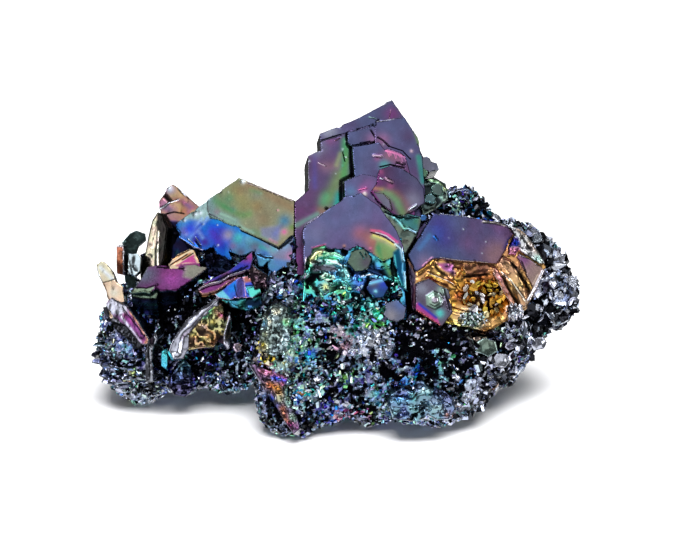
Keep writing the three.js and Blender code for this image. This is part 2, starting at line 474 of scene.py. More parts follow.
@dataclass(frozen=True)
class Ribbons:
    """Winding bright ribbons, as melted crust has them, with hollows painted black as shade.

    Share is how much of the face the ribbons take, and strength is how black the
    hollows are.
    """

    seed: int
    cell: float = 1.0
    share: float = 0.5
    strength: float = 0.8
    lift: float = 0.15
    swing_nm: float = 12.0

    def mark(self, uv: np.ndarray, surface: Surface) -> None:
        """Raises the ribbons and blackens the hollows as painted shade."""
        raised = ease(worms(uv, self.cell, self.seed), 0.88 - self.share, 1.08 - self.share)
        surface.lift += self.lift * raised
        surface.sheen *= 1 - self.strength * (1 - raised)
        surface.swing += 2 * self.swing_nm * (drift(uv, self.cell, self.seed + 5) - 0.5)


@dataclass(frozen=True)
class Grooves:
    """Parallel ribs, as the edges of many thin layers show them."""

    angle_deg: float
    pitch: float = 0.6
    depth: float = 0.03
    swing_nm: float = 8.0

    def mark(self, uv: np.ndarray, surface: Surface) -> None:
        """Cuts the ribs and shades the film with them."""
        turn = math.radians(self.angle_deg)
        along = uv @ np.array((-math.sin(turn), math.cos(turn)))
        wave = np.sin(2 * math.pi * along / self.pitch + 3 * drift(uv, 2.0, 3))
        surface.lift += self.depth * wave
        surface.swing += self.swing_nm * wave


@dataclass(frozen=True)
class HexRings:
    """A growth hillock: six-sided steps, one on another, round one point."""

    at: Sequence[Point]
    radius: float
    film: Film
    lift: float = 0.25
    strength: float = 0.8
    rings: int = 4

    def mark(self, uv: np.ndarray, surface: Surface) -> None:
        """Stacks the steps."""
        away = uv - np.array(self.at)
        normals = np.radians(np.arange(0, 180, 60))
        reach = np.abs(away @ np.array((np.cos(normals), np.sin(normals)))).max(axis=1)
        height = np.clip(1 - reach / self.radius, 0, 1) * self.rings
        tread = (np.floor(height) + ease(height % 1.0, 0.7, 1.0)) / self.rings
        surface.lift += self.lift * tread
        surface.lay(np.sin(math.pi * tread) * self.strength, self.film)


def crack(path: Sequence[Point], width: float = 0.12) -> Mark:
    """Gives a sunken gap, as between one growth layer and the next, painted black as shade."""
    return Mark(path, width, BLACK, lift=-0.1, firm=3)


def glint(path: Sequence[Point], width: float = 0.08, film: Film = SILVER) -> Mark:
    """Gives a thin raised edge with a painted highlight: a pale film at full sheen."""
    return Mark(path, width, film, lift=0.1, firm=2)


def fleck(at: Sequence[Point], radius: float = 0.12, film: Film = SILVER) -> Mark:
    """Gives a small raised bright knob."""
    return Mark(at, radius, film, lift=0.06)


# ---- Crystals -----------------------------------------------------------------------


@dataclass(frozen=True)
class Facing:
    """Where a crystal's face is and how it is turned, as the solid has it.

    Azimuth turns the face from -Y towards +X and lean tips it up, in degrees.
    """

    at: Place
    azimuth: float = 0.0
    lean: float = 0.0

    def axes(self) -> np.ndarray:
        """Gives the directions across the face, up it and straight out of it."""
        turn, tip = math.radians(self.azimuth), math.radians(self.lean)
        across = np.array((math.cos(turn), math.sin(turn), 0.0))
        level = np.array((math.sin(turn), -math.cos(turn), 0.0)) * math.cos(tip)
        out = level + (0.0, 0.0, math.sin(tip))
        return np.array((across, np.cross(out, across), out))

    def to_cluster(self, local: np.ndarray) -> np.ndarray:
        """Takes points from the face's own directions to the layout's."""
        return np.array(self.at) + local @ self.axes()

    def to_face(self, points: np.ndarray) -> np.ndarray:
        """Takes points from the layout's directions to the face's own."""
        return (points - np.array(self.at)) @ self.axes().T


# A face is rounded off at its edge, which has fine nicks and a few deeper chips.
EDGE_ROUND_MM = 0.13
EDGE_RINGS_MM = (0.05, 0.12, 0.24)
EDGE_STEP_MM = 0.25
NICK_MM = 0.06
CHIP_MM = 0.22
# A wall is made of ledges, and streaks run across them.
WALL_STEP_MM = 0.35
LEDGE_MM, LEDGE_NM = 0.07, 40
STREAK_MM, STREAK_NM = 0.08, 20
# Rows of equal triangles are this far apart, for a side of one.
TRIANGLE_ROW = 0.866


@dataclass(frozen=True)
class Slab:
    """One layer of a crystal: an outline on the face, its film, and what is on it.

    Step is how far its face stands out of the crystal's plane, and along is by how many
    nanometres the film thickens for each millimetre across and up the face. Wall is the
    film on the slab's sides, mostly at a low sheen: painted shade that keeps the sides
    dark. Rim is a film laid just inside the edge: the edge's own colour, and a painted
    highlight where it is pale and at full sheen.
    """

    outline: Sequence[Point]
    film: Film
    step: float = 0.0
    along: Point = (0.0, 0.0)
    details: list[Detail] = field(default_factory=list)
    wall: Film = Film(465, 0.8, 0.18)
    rim: Film | None = None
    rim_reach: float = 0.14
    grid: float = 0.21
    cloud_nm: float = 4.0
    bare: bool = True

    def edge(self, seed: int) -> np.ndarray:
        """Gives the outline with many small nicks, as a brittle edge has."""
        corners = np.array(self.outline, float)
        after = np.roll(corners, -1, axis=0)
        if (corners[:, 0] * after[:, 1] - corners[:, 1] * after[:, 0]).sum() < 0:
            corners = corners[::-1]
        points = []
        for start, end in zip(corners, np.roll(corners, -1, axis=0), strict=True):
            pieces = max(1, round(float(np.hypot(*(end - start))) / EDGE_STEP_MM))
            points.extend(start + (end - start) * i / pieces for i in range(pieces))
        edge = np.array(points)
        inward = self.inward(np.roll(edge, 1, axis=0), np.roll(edge, -1, axis=0))
        nick = NICK_MM * drift(edge, 0.5, seed)
        chip = CHIP_MM * ease(drift(edge, 1.1, seed + 7), 0.72, 0.95)
        return edge + inward * (nick + chip)[:, None]

    @staticmethod
    def inward(before: np.ndarray, after: np.ndarray) -> np.ndarray:
        """Gives the directions into the slab, square to the runs between points."""
        run = after - before
        square = np.stack((-run[:, 1], run[:, 0]), axis=1)
        return square / np.maximum(np.hypot(*square.T), 1e-9)[:, None]

    def surface(self, uv: np.ndarray, depth_in: np.ndarray, seed: int) -> Surface:
        """Gives the face's values.

        Args:
            uv: (N, 2) points on the face.
            depth_in: (N,) their distances from the outline.
            seed: the crystal's own number.

        Returns:
            Height, film, tint and sheen at each point.
        """
        speck = 0.12 * ease(drift(uv, 0.4, seed + 2), 0.8, 1.0)
        base = Surface(
            lift=np.zeros(len(uv)),
            nm=self.film.nm + uv @ np.array(self.along),
            tint=np.full(len(uv), self.film.tint),
            sheen=self.film.sheen * (1 - 0.14 * drift(uv, 1.7, seed + 3)) + speck,
            swing=self.cloud_nm * (2 * drift(uv, 2.6, seed) + drift(uv, 0.9, seed + 1) - 1.5),
        )
        for detail in self.details:
            detail.mark(uv, base)
        if self.rim:
            base.lay(np.exp(-((depth_in / self.rim_reach) ** 2)), self.rim)
        return base

    def mesh(self, edge: np.ndarray) -> tuple[np.ndarray, np.ndarray]:
        """Divides the outline into small triangles, finer along the edge.

        Args:
            edge: (N, 2) the outline, anticlockwise.

        Returns:
            Points and triangles.
        """
        after = np.roll(edge, -1, axis=0)
        low, high = edge.min(axis=0), edge.max(axis=0)
        rows = np.arange(low[1], high[1], self.grid * TRIANGLE_ROW)
        across, up = np.meshgrid(np.arange(low[0], high[0], self.grid), rows)
        across = across + np.where(np.arange(len(rows)) % 2, self.grid / 2, 0)[:, None]
        inward = self.inward(edge, after)
        flat = np.stack((across.ravel(), up.ravel()), axis=1)
        thin = [d for d in self.details if isinstance(d, Mark) and d.width < 0.2 and len(d.path) > 1]
        for mark in thin:
            path = np.array(mark.path)
            flat = flat[segment_distance(flat, path[:-1], path[1:]) > 2.2 * mark.width]
        loose = [(flat, 0.32), *((mark.seeds(), 0.1) for mark in thin)]
        for ring in EDGE_RINGS_MM:
            loose.append(((edge + after) / 2 + inward * ring, 0.8 * ring))
        kept = [edge]
        for points, least in loose:
            near = segment_distance(points, edge, after)
            kept.append(points[(near >= least) & inside(points, edge)])
        loop = [(i, (i + 1) % len(edge)) for i in range(len(edge))]
        spots = [Vector(p) for p in np.concatenate(kept)]
        points, _, faces, *_ = geometry.delaunay_2d_cdt(spots, loop, [], 1, 1e-5)
        return np.array([p[:2] for p in points]), np.array(faces)

    def build(self, skin: Skin, crystal: "Crystal", seed: int) -> None:
        """Adds the slab to a skin.

        Args:
            skin: the mesh in the making.
            crystal: the crystal that it is part of.
            seed: the slab's own number.
        """
        edge = self.edge(seed)
        uv, faces = self.mesh(edge)
        depth_in = segment_distance(uv, edge, np.roll(edge, -1, axis=0))
        surface = self.surface(uv, depth_in, seed)
        short = np.clip(1 - depth_in / EDGE_ROUND_MM, 0, 1)
        rounding = EDGE_ROUND_MM * (1 - np.sqrt(1 - short**2))
        height = self.step + surface.lift * ease(depth_in, 0.0, 0.3) - rounding
        coats = np.column_stack((surface.colour(), np.clip(surface.sheen, 0, 1)))
        top = np.column_stack((uv, height))
        local, triangles, coats = self.close(top, faces, coats, crystal.thickness, seed)
        skin.add(crystal.facing.to_cluster(local), triangles, coats)

    def close(
        self, top: np.ndarray, faces: np.ndarray, coats: np.ndarray, thickness: float, seed: int
    ) -> tuple[np.ndarray, np.ndarray, np.ndarray]:
        """Puts layered walls under the face's edge, and a back between them.

        Args:
            top: (N, 3) the face's points in its own directions.
            faces: (M, 3) the face's triangles.
            coats: (N, 4) the face's coat.
            thickness: how far back the slab goes from the face's plane.
            seed: the slab's own number.

        Returns:
            The closed slab's points, triangles and coat.
        """
        sides = np.concatenate((faces[:, :2], faces[:, 1:], faces[:, (2, 0)])).tolist()
        known = {tuple(side) for side in sides}
        rim = np.array([side for side in sides if (side[1], side[0]) not in known])
        ring, index = np.unique(rim, return_inverse=True)
        index = index.reshape(rim.shape)
        here = top[ring, :2]
        outward = here - here.mean(axis=0)
        outward = outward / np.maximum(np.hypot(*outward.T), 1e-9)[:, None]
        rows = max(2, math.ceil((thickness + self.step) / WALL_STEP_MM))
        corners, triangles, layers = [top], [faces], [coats]
        above, count = ring, len(top)
        for row in range(1, rows + 1):
            level = top[ring, 2] - (top[ring, 2] + thickness) * row / rows
            out, band = lattice_value(np.array([[row, seed], [row, seed + 1]]), 3)
            streak = drift(here + row * 0.5, 0.7, seed + 12)
            wobble = LEDGE_MM * (out - 0.5) + STREAK_MM * (streak - 0.5)
            corners.append(np.column_stack((here + outward * wobble[:, None], level)))
            # Most walls get a low sheen: painted shade that keeps the slab's sides dark.
            film = self.wall.nm + LEDGE_NM * (band - 0.5) + STREAK_NM * (streak - 0.5)
            clean = np.clip(self.wall.sheen * (0.4 + band + 0.6 * streak), 0, 1)
            shown = film_colour(film, np.full(len(ring), self.wall.tint))
            layers.append(np.column_stack((shown, clean)))
            below = count + np.arange(len(ring))
            count += len(ring)
            a, b = above[index[:, 0]], above[index[:, 1]]
            c, d = below[index[:, 0]], below[index[:, 1]]
            triangles += [np.column_stack((b, a, c)), np.column_stack((b, c, d))]
            above = below
        spots = [Vector(p) for p in here]
        _, _, flat, *_ = geometry.delaunay_2d_cdt(spots, index.tolist(), [], 1, 1e-5)
        film = self.film.nm + 30 * (drift(here, 2.4, seed + 14) - 0.5)
        shown = film_colour(film, np.full(len(ring), self.film.tint))
        layers.append(np.column_stack((shown, 0.3 + 0.3 * drift(here, 1.4, seed + 15))))
        triangles.append(np.array(flat)[:, ::-1] + count)
        corners.append(corners[-1])
        return np.concatenate(corners), np.concatenate(triangles), np.concatenate(layers)


@dataclass(frozen=True)
class Crystal:
    """Parallel slabs with one facing."""

    facing: Facing
    thickness: float
    slabs: Sequence[Slab]
    seed: int = 1

    def build(self, skin: Skin) -> None:
        """Adds every slab to a skin."""
        for number, slab in enumerate(self.slabs):
            slab.build(skin, self, 100 * self.seed + 13 * number)

    def over(self, local: np.ndarray) -> Iterator[tuple[Slab, np.ndarray]]:
        """Gives each bare slab, and which points in the face's directions are over it."""
        for slab in self.slabs:
            if slab.bare:
                yield slab, inside(local[:, :2], np.array(slab.outline, float))

    def hides(self, points: np.ndarray, reach: float) -> np.ndarray:
        """Tells which points the crystal swallows, or that would stand in front of it.

        Args:
            points: (N, 3) points in the layout's millimetres.
            reach: how far in front of the face nothing else stands.

        Returns:
            (N,) truth values.
        """
        local = self.facing.to_face(points)
        out = local[:, 2]
        hidden = np.zeros(len(points), bool)
        for slab, over in self.over(local):
            hidden |= over & (out > -self.thickness) & (out < slab.step + reach)
        return hidden

    def clear(self, points: np.ndarray, gap: float, reach: float) -> np.ndarray:
        """Pushes points that stand over the crystal's faces back behind them.

        Args:
            points: (N, 3) points in the layout's millimetres.
            gap: how far behind a face they end up.
            reach: how far in front of it they are taken from.

        Returns:
            (N, 3) points.
        """
        local = self.facing.to_face(points)
        out = local[:, 2]
        for slab, over in self.over(local):
            out[over & (out > slab.step - gap) & (out < slab.step + reach)] = slab.step - gap
        return self.facing.to_cluster(local)


def hexagon(at: Point, radius: float, turn_deg: float = 30.0, squash: float = 1.0) -> list[Point]:
    """Gives the corners of a hexagon on a face, regular unless it is squashed."""
    angles = [math.radians(turn_deg + 60 * i) for i in range(6)]
    return [(at[0] + radius * math.cos(a), at[1] + radius * squash * math.sin(a)) for a in angles]


# ---- Drawings -----------------------------------------------------------------------

# Faces are drawn in words, an item to a line: a word, its settings and its points, in
# millimetres on the face. A line that starts with a number goes on with the item before
# it, and one that starts with # says what comes next. Settings come in the order of the
# class's fields, or by name. A film is nm/tint/sheen, where nothing stands for a value
# left as it was, or a name from FILMS. A crystal's settings are its place, azimuth,
# lean, thickness and seed, and its slabs come after it. A slab's details come after the
# slab, in the order in which they are laid over each other, and six=RADIUS,TURN makes
# it a hexagon.
# Sunken black lines are painted shade, and glints are raised lines with a painted highlight.
Value = float | tuple[float, ...] | Film
DETAILS: dict[str, Callable[..., Detail]] = {
    "band": Mark,
    "dot": Mark,
    "fleck": fleck,
    "crack": crack,
    "glint": glint,
    "area": Area,
    "rings": HexRings,
    "treads": Treads,
    "crumple": Crumple,
    "ribbons": Ribbons,
    "grooves": Grooves,
}
ONE_FOR_EACH_POINT = ("dot", "fleck")


def read_value(text: str) -> Value:
    """Reads a number, a point such as 1.4,6 or a film such as 362/1/.55 or pink."""
    if "," in text:
        return tuple(read_value(part) for part in text.split(","))
    if "/" in text:
        return Film(*(read_value(part) if part else None for part in text.split("/")))
    if text.isalpha():
        return FILMS[text]
    return float(text) if "." in text else int(text)


def read_slabs(drawing: str, **groups: Sequence[Detail]) -> list[Slab]:
    """Reads slabs and what is on them.

    Args:
        drawing: the items.
        groups: details that come where their own word is.

    Returns:
        The slabs, in order.
    """
    slabs: list[Slab] = []
    for item in re.split(r"\n(?=[a-z#])", drawing.strip()):
        word, *tokens = item.split()
        if word == "#":
            continue
        settings = [token for token in tokens if "=" in token]
        named = {key: read_value(text) for key, text in (pair.split("=") for pair in settings)}
        given = [read_value(token) for token in tokens if "=" not in token]
        points = [value for value in given if isinstance(value, tuple)]
        values = [value for value in given if not isinstance(value, tuple)]
        if word == "slab":
            if "six" in named:
                points = hexagon(points[0], *named.pop("six"))
            slabs.append(Slab(points, *values, **named))
        elif word in groups:
            slabs[-1].details.extend(groups[word])
        else:
            places = [[at] for at in points] if word in ONE_FOR_EACH_POINT else [points]
            for place in places:
                start = [place] if place else []
                slabs[-1].details.append(DETAILS[word](*start, *values, **named))
    return slabs


def read_crystals(drawing: str) -> list[Crystal]:
    """Reads crystals: each one's place, azimuth, lean, thickness and seed, then its slabs."""
    crystals = []
    for part in drawing.split("\ncrystal ")[1:]:
        head, slabs = part.split("\n", 1)
        at, azimuth, lean, thickness, seed = (read_value(token) for token in head.split())
        crystals.append(Crystal(Facing(at, azimuth, lean), thickness, read_slabs(slabs), seed))
    return crystals


def read_rows(table: str) -> list[list[Value]]:
    """Reads a table of values, and passes over the rows that start with #."""
    rows = [row.split() for row in table.strip().splitlines()]
    return [[read_value(token) for token in row] for row in rows if row[0] != "#"]


# ---- Finishes -----------------------------------------------------------------------


def add(
    tree: bpy.types.NodeTree,
    kind: str,
    settings: dict[str, object] | None = None,
    links: dict[str | int, bpy.types.NodeSocket] | None = None,
) -> bpy.types.Node:
    """Adds a node.

    Args:
        tree: the material's or world's nodes.
        kind: the node's type, without its ShaderNode prefix.
        settings: its properties and unlinked inputs, by name.
        links: sockets to join to its inputs, by name or number.

    Returns:
        The node.
    """
    node = tree.nodes.new("ShaderNode" + kind)
    for name, value in (settings or {}).items():
        if name in node.bl_rna.properties:
            setattr(node, name, value)
        else:
            node.inputs[int(name) if name.isdigit() else name].default_value = value
    for name, socket in (links or {}).items():
        tree.links.new(socket, node.inputs[name])
    return node


@dataclass(frozen=True)
class Finish:
    """Oxide-filmed silicon carbide.

    The film's colour and the surface's sheen come from the coat that the mesh
    carries. Where the sheen is low the black of the crystal shows: on dull surfaces, and
    as painted shade in gaps, hollows and on dark sides.
    """

    name: str
    roughness: float
    roughness_swing: float
    cloud_mm: float
    cloud_shade: float
    grit_mm: float
    bump: float
    metallic: float = 1.0
    dark_colour: str = "#050509"

    def material(self) -> bpy.types.Material:
        """Gives the material, which is made the first time it is asked for."""
        known = bpy.data.materials.get(self.name)
        if known:
            return known
        material = bpy.data.materials.new(self.name)
        material.use_nodes = True
        tree = material.node_tree
        shader = tree.nodes["Principled BSDF"]
        place = add(tree, "TexCoord").outputs["Object"]
        coat = add(tree, "Attribute", {"attribute_name": "coat"})
        clouds = self.noise(tree, place, self.cloud_mm)
        shade = self.range(tree, clouds, 1 - self.cloud_shade, 1 + self.cloud_shade)
        settings = {"data_type": "RGBA", "blend_type": "MULTIPLY", "0": 1.0}
        film = add(tree, "Mix", settings, {6: coat.outputs["Color"], 7: shade})
        settings = {"data_type": "RGBA", "6": linear(self.dark_colour)}
        colour = add(tree, "Mix", settings, {0: coat.outputs["Alpha"], 7: film.outputs[2]})
        tree.links.new(colour.outputs[2], shader.inputs["Base Color"])
        grit = self.noise(tree, place, self.grit_mm)
        rough = self.range(tree, grit, self.roughness, self.roughness + self.roughness_swing)
        tree.links.new(rough, shader.inputs["Roughness"])
        settings = {"Strength": self.bump, "Distance": self.grit_mm * MM}
        relief = add(tree, "Bump", settings, {"Height": grit})
        tree.links.new(relief.outputs["Normal"], shader.inputs["Normal"])
        shader.inputs["Metallic"].default_value = self.metallic
        return material

    @staticmethod
    def noise(
        tree: bpy.types.NodeTree, place: bpy.types.NodeSocket, size: float
    ) -> bpy.types.NodeSocket:
        """Adds noise whose features are about a size in millimetres."""
        settings = {"Scale": 1 / (size * MM), "Detail": 3.0}
        return add(tree, "TexNoise", settings, {"Vector": place}).outputs["Fac"]

    @staticmethod
    def range(
        tree: bpy.types.NodeTree, value: bpy.types.NodeSocket, low: float, high: float
    ) -> bpy.types.NodeSocket:
        """Stretches noise to a range of values."""
        settings = {"From Min": 0.3, "From Max": 0.7, "To Min": low, "To Max": high}
        return add(tree, "MapRange", settings, {"Value": value}).outputs["Result"]


# As-grown faces: mirror-smooth with a satin haze, so that flat faces look calm and
# every curved edge flashes.
GROWN_FACE = Finish(
    name="as_grown_silicon_carbide_face",
    roughness=0.16,
    roughness_swing=0.12,
    cloud_mm=1.6,
    cloud_shade=0.12,
    grit_mm=0.3,
    bump=0.05,
)
# Small broken and half-grown crystals: each facet is bright or black on its own.
CRUSHED_GRAIN = Finish(
    name="furnace_grown_silicon_carbide_grain",
    roughness=0.12,
    roughness_swing=0.2,
    cloud_mm=1.0,
    cloud_shade=0.2,
    grit_mm=0.25,
    bump=0.12,
)
# The sintered mass under the grains: melted ribbons, with the hollows between them
# painted black as shade.
SINTERED_MASS = Finish(
    name="sintered_silicon_carbide_mass",
    roughness=0.2,
    roughness_swing=0.25,
    cloud_mm=0.8,
    cloud_shade=0.25,
    grit_mm=0.3,
    bump=0.4,
)


def make_piece(name: str, crystals: Sequence[Crystal]) -> list[Crystal]:
    """Makes one smooth-faced piece of some crystals, and gives them back."""
    skin = Skin()
    for crystal in crystals:
        crystal.build(skin)
    skin.make(name, GROWN_FACE, Slot.CRYSTAL, 40)
    return list(crystals)


# ---- The tall stepped crystal -------------------------------------------------------

# The peak and the scales on it.
PEAK = """
# The peak, which stands behind the rest.
slab 475/1/.64 along=.6,.8 wall=470/.7/.05
-4.3,-9 11,-9 11,3 8.5,9 6.8,11.8 6,11.5 5.3,11 1.1,8.9 -4,7
treads 21
dot 1.2 482/.6 -2.6,7.3
dot 1.2 violet 6.9,9.6
crack .1 -3.9,5.9 -1.3,6.65 .9,6.95
crack 1.5,7.4 2.3,7.5
crack .2 3.8,6.8 3.8,8
crack .15 4.4,8.4 4.7,8.7
glint .1 4.7,8.4 6,8.5
glint film=334/.4 3.4,9.2 4.2,9
glint .05 442/.6 6.1,8.6 6.5,10.1
glint .06 474/.4 5.4,10.9 6.6,11.6
# The tall column on the left.
slab 470/1/.66 1 along=.5,.6 wall=480/.6/.05
-8.5,-14 3.5,-14 3.5,8.2 1.2,7.1 .4,7.3 -1.4,6.3 -4,5.6 -4,4.5 -6,3.5 -6.2,-1.5 -8.2,-3.2
treads 21
band .4 300/.9/.6 show=.45 -5,3.4 -5.2,-1.2
dot 1.3 482/.8 -4.6,4.6
dot .9 plum show=.5 -2.6,5.8
band 1 362/1/.55 show=.42 -1.6,.4 -2.6,-1.8 -3.4,-3
band .55 336/1/.42 show=.8 -1.8,-2.4 -2.1,-3.7
band .8 350/1/.5 show=.4 -3.6,-2.6 -4,-3.6
band .9 424/.7/.6 show=.25 -3.4,1.8 -1.8,1.9
band .7 400/.9/.5 show=.35 -4.4,-4.6 -2.6,-5.2
band .6 352/1/.36 show=.85 -.35,5.4 -.6,2.6 -.9,.4
band .35 370/.8/.6 show=.5 -1.3,3.6 -1.9,2
crack .24 -.1,6.7 -.1,5 .3,4.6 .35,.3
crack .28 .3,.4 -1.3,-.4 -1.4,-3.2
crack .2 -3.7,-4.3 -3.3,-4.6
crack .07 -.9,3.8 -.7,2.6
fleck -.9,4.3 -.5,3.1
fleck film=sea -1,1.9
fleck -.4,5.4
fleck .15 -5.8,2.7
fleck -6,-.1
fleck .08 -2.1,.8
glint film=440/.35 -4.5,2.4 -3.5,1.9
glint .07 440/.7 -1.9,5.6 -1.2,6
band .35 346/.6/.34 show=.6 -8,-6.6 -5,-5.1
glint .06 472/.6 -5.9,3.3 -6.1,-1.4
# The low scale beside the column.
slab 488/1/.7 2 along=-2,0 wall=474/.6/.12
-.2,4.8 .6,4.3 2.6,4.6 3.5,5 4,5.3 4,7.6 3,7.3 1.4,6.9 -.2,6.6
dot 1 448/.8/.6 show=.5 3.4,5.4
crack .07 .4,4.6 3.3,5
glint .06 dim 1.6,5 2.9,5.2
crack .1 4,5.3 3.2,6.8
# The scale on the right.
slab 470/1/.68 2.1 along=.6,.9 wall=340/.6/.12
3.7,-3 10.6,-3 10.5,3 10,5.5 8.2,8.6 6,8.4 4.1,8.1 3.7,7
treads 21
dot 1 440/.8/.66 show=.5 4.9,5.3
dot 1 violet show=.6 8.6,6
band .3 362/1/.45 show=.6 9.5,7 10.1,4.7
band .35 340/.9/.28 show=.8 9.9,2.6 10.3,-1
crack .1 4.1,5.7 4.9,5.2 5.7,4.3
crack .06 5.7,4.3 7.6,3.6 8.7,2.3
fleck .22 424/.5/1 8.9,3.5
fleck .1 4.9,4.6
glint .06 472/.4 4.2,8 6.6,8.3
"""

# The slab with the feather on it, the ledge and the right-hand face.
FEATHERED = """
# The slab with the feather.
slab 492/1/.74 3 along=-3.8,.5 wall=474/.6/.12
.3,-9 9,-9 8.5,0 7.9,2.6 7.2,3.2 5.3,3.9 5,3.6 4.2,4.8 2.4,4.5 .3,4.2
treads 21
band .7 430/.8/.55 show=.4 5.2,2.7 7,2
rays
band .16 442/.85/1 firm=1.2 5,3.5 6.3,3.1 7.7,2.5
dot .5 443/.9 show=.5 3.8,2.5
glint .12 440/.4 3.2,2.8 4.4,2.6
dot .7 335/.8/.4 show=.7 4.8,1.3
fleck .2 4.6,.2
crack .08 4.1,1.1 5.6,1.4 7.6,.9
crack 6.6,1.6 7.7,1.3
# The ledge below it on the left.
slab 484/1/.76 3.6 along=-3,1.5 wall=474/.5/.1 -1.2,-9 4,-9 4,-.6 3.2,-.3 1.4,.1 .2,-.4 -1.2,-.9
dot .6 443/1/1 show=.8 1.5,-2.4
fleck .18 3.1,-3.4
dot 1 plum show=.4 2.2,-1.7
fleck .3 392/.3/1 1.65,-2.9
dot .8 azure show=.3 -.4,-2.4
glint film=pink .9,-2.3 1.8,-2.1
# The dark layer under the right-hand face.
slab 360/.4/.24 3.5 wall=350/.6/.1 2.6,-12.4 7,-12 9,-9 9.8,-6.4 5.5,-5.2 1.8,-3.2
ribbons 17 1 .5 .5 .05
crack .2 1.6,-3.7 2.6,-3.5 5.6,-5.7
area 333/.8/.24 .8 4.6,-5.6 9.4,-6.2 9,-8.6 6.6,-8
crack .14 4.4,-5.6 6.4,-6.4 9.2,-6.6
glint .22 330/.7/1 5.6,-6.4 6.6,-7.4 7.1,-8.2
glint .16 328/.6/1 7.6,-8.1 8.7,-8.7
glint .07 5.6,-5.9 7.4,-6.3
# The right-hand face.
slab 451/1/.5 4.1 along=3.2,1.5 wall=474/.6/.12
3.8,.5 5.6,1.1 7.4,.5 9.2,-.9 10.1,-2.4 10.2,-4.5 8.6,-5.6 6.7,-6.4 5.4,-6 4.4,-5 3.4,-4.2
2.4,-2.7 3.3,-1.5
treads 21
dot 1.2 486/.9 show=.5 9,-.9
dot 1.5 478/.6/.6 show=.6 8.4,-4.2
band .6 423/.9 show=.4 4.6,-2.8 6.2,-3.1 7.3,-4.5 7.7,-6
band .6 358/.9/.45 show=.6 4.2,-2.9 5.2,-3.2 6.1,-4.1 6.8,-5.9
band .3 408/.9/.7 show=.6 2.8,-2.2 4.1,-2.4
area 478/.7/.42 3,-2.9 4.2,-3.1 5,-4 5.2,-5.4 4.2,-4.8
glint .06 386/.4 3,-2.8 4.2,-3 5.1,-4 5.4,-5.5
dot .5 443/.9 show=.6 5.3,-2
glint 3.9,-.8 4.2,-.9
glint .14 440/.5 4.7,-.9 5.6,-1.4
dot .4 443/.9 show=.5 4.1,.1
glint .12 7.8,-5.5 8.3,-5.2 8.8,-4.9
glint .05 470/.6 6.2,1 7.4,.4 8.6,-.5
"""

# The small dark flakes down the right side.
FLAKES = """
# A dark flake with a bright streak.
slab 345/.35/.14 1 wall=350/.3/.06 rim=366/.5/1
10,-6 12,-5 14,-3.6 13.9,-1.8 13.8,-1.1 12.2,-.1 11.2,-.3 10,.4
ribbons 8 .9 .3 .8 .1
band .3 362/.7/1 lift=.3 firm=1.6 10.2,0 11.4,-.7 12.6,-.9 13.5,-2
glint film=350/.3 10.4,-.3 11.6,-1 12.6,-1.2
band .2 346/.5/.9 12.6,-2.8 13.4,-3.6
# A thin violet flake.
slab 478/.7/.34 1.4 wall=350/.3/.06 rim=478/.4/.7 rim_reach=.08
9.9,2.6 11.2,2.9 12.6,1.9 12.9,.9 11.5,.5 10.1,1
# A thin green flake.
slab 350/.7/.2 2 wall=350/.3/.06 rim=350/.5/.6 rim_reach=.08
9.7,1.2 10.6,1.1 11.2,.4 10.8,-.4 9.9,-.2
# Three small hexagons, one below another.
slab 346/.35/.14 1.6 wall=350/.3/.06 rim=346/.6/.8 rim_reach=.09 six=1.1,30 12.4,-2.2
slab 333/.5/.16 2.2 wall=350/.3/.06 rim=333/.6/.8 rim_reach=.09 six=.9,15 11.2,-3.6
slab 316/.9/.3 3.6 wall=350/.3/.06 rim=316/.6/.8 rim_reach=.09 six=.6,0 9.9,-6.6
"""

# The broad front slab.
FRONT = """
slab 487/1/.9 5 along=-.7,.9 wall=474/.4/.2
-7.5,-7.5 -3.5,-5 -1.5,-3.5 1,-3 3.5,-5 5.8,-8.6 6.6,-10.8 6.8,-13 6.8,-17.4 5.9,-16.6 5.2,-14
5,-12.4 3.5,-13 2.5,-12.1 1.7,-11.5 .1,-10.6 -1.2,-11.3 -2,-11 -4.1,-11.1 -4.5,-10.4 -6.2,-10.8
-6.4,-11.6 -7.1,-12.2 -7.3,-15 -7.8,-15.2 -7.6,-12
treads 21
dot 1.6 480/.9 show=.5 -5.6,-8.6
band 1.1 428/.9/.6 show=.55 .6,-8.9 2.4,-9.6
band .9 424/.9/.6 show=.6 2.2,-10.2 2.6,-11.4
band .1 pink lift=.08 -6.2,-10.7 -4.5,-10.3
fleck .2 rust -1.8,-10.6
fleck .2 pink 1.9,-11.1
crack .06 -6.2,-10.9 -4.4,-10.5
area 366/.8/.42 .8 2.9,-10 4.6,-10.6 5.6,-11.4 5,-12.5 3.5,-13.1 2.5,-11.8
band .35 352/1/.36 show=.7 3,-11 3.3,-12.6
band .32 378/.8/.7 show=.8 2.3,-9.4 4,-10.1 5.3,-11
band .16 386/.9/1 firm=1.6 2.4,-9.15 4.1,-9.85 5.6,-10.9
band .18 438/1/1 firm=1.6 2.2,-8.5 3.4,-8.65 4.5,-9.2 5.6,-10.2
band .07 424/.3/1 firm=1.5 2.8,-8.8 4.2,-9.3 5.3,-10.2
crack .06 2.1,-8.8 3.6,-9.25 5.2,-10.4
area 330/1/.16 5.1,-11.7 5.9,-11.2 6.8,-12 6.8,-17.4 5.8,-16.6 5.1,-14
band .1 340/.9/.8 5.25,-12.2 5.4,-14.4 6,-16.4
band .2 334/.4/1 lift=.1 5.5,-10.7 6.2,-11.3 6.4,-12.9
band .1 334/.8/.9 6.4,-12.9 6.2,-14.6 6.6,-15.4
glint .2 334/.6/1 6.5,-14.6 6.55,-16.9
glint .11 440/.2/1 -7.3,-12.2 -7.5,-15
glint .05 470/.6 -7.4,-7.7 -5.4,-6.4 -3.6,-5.1
"""

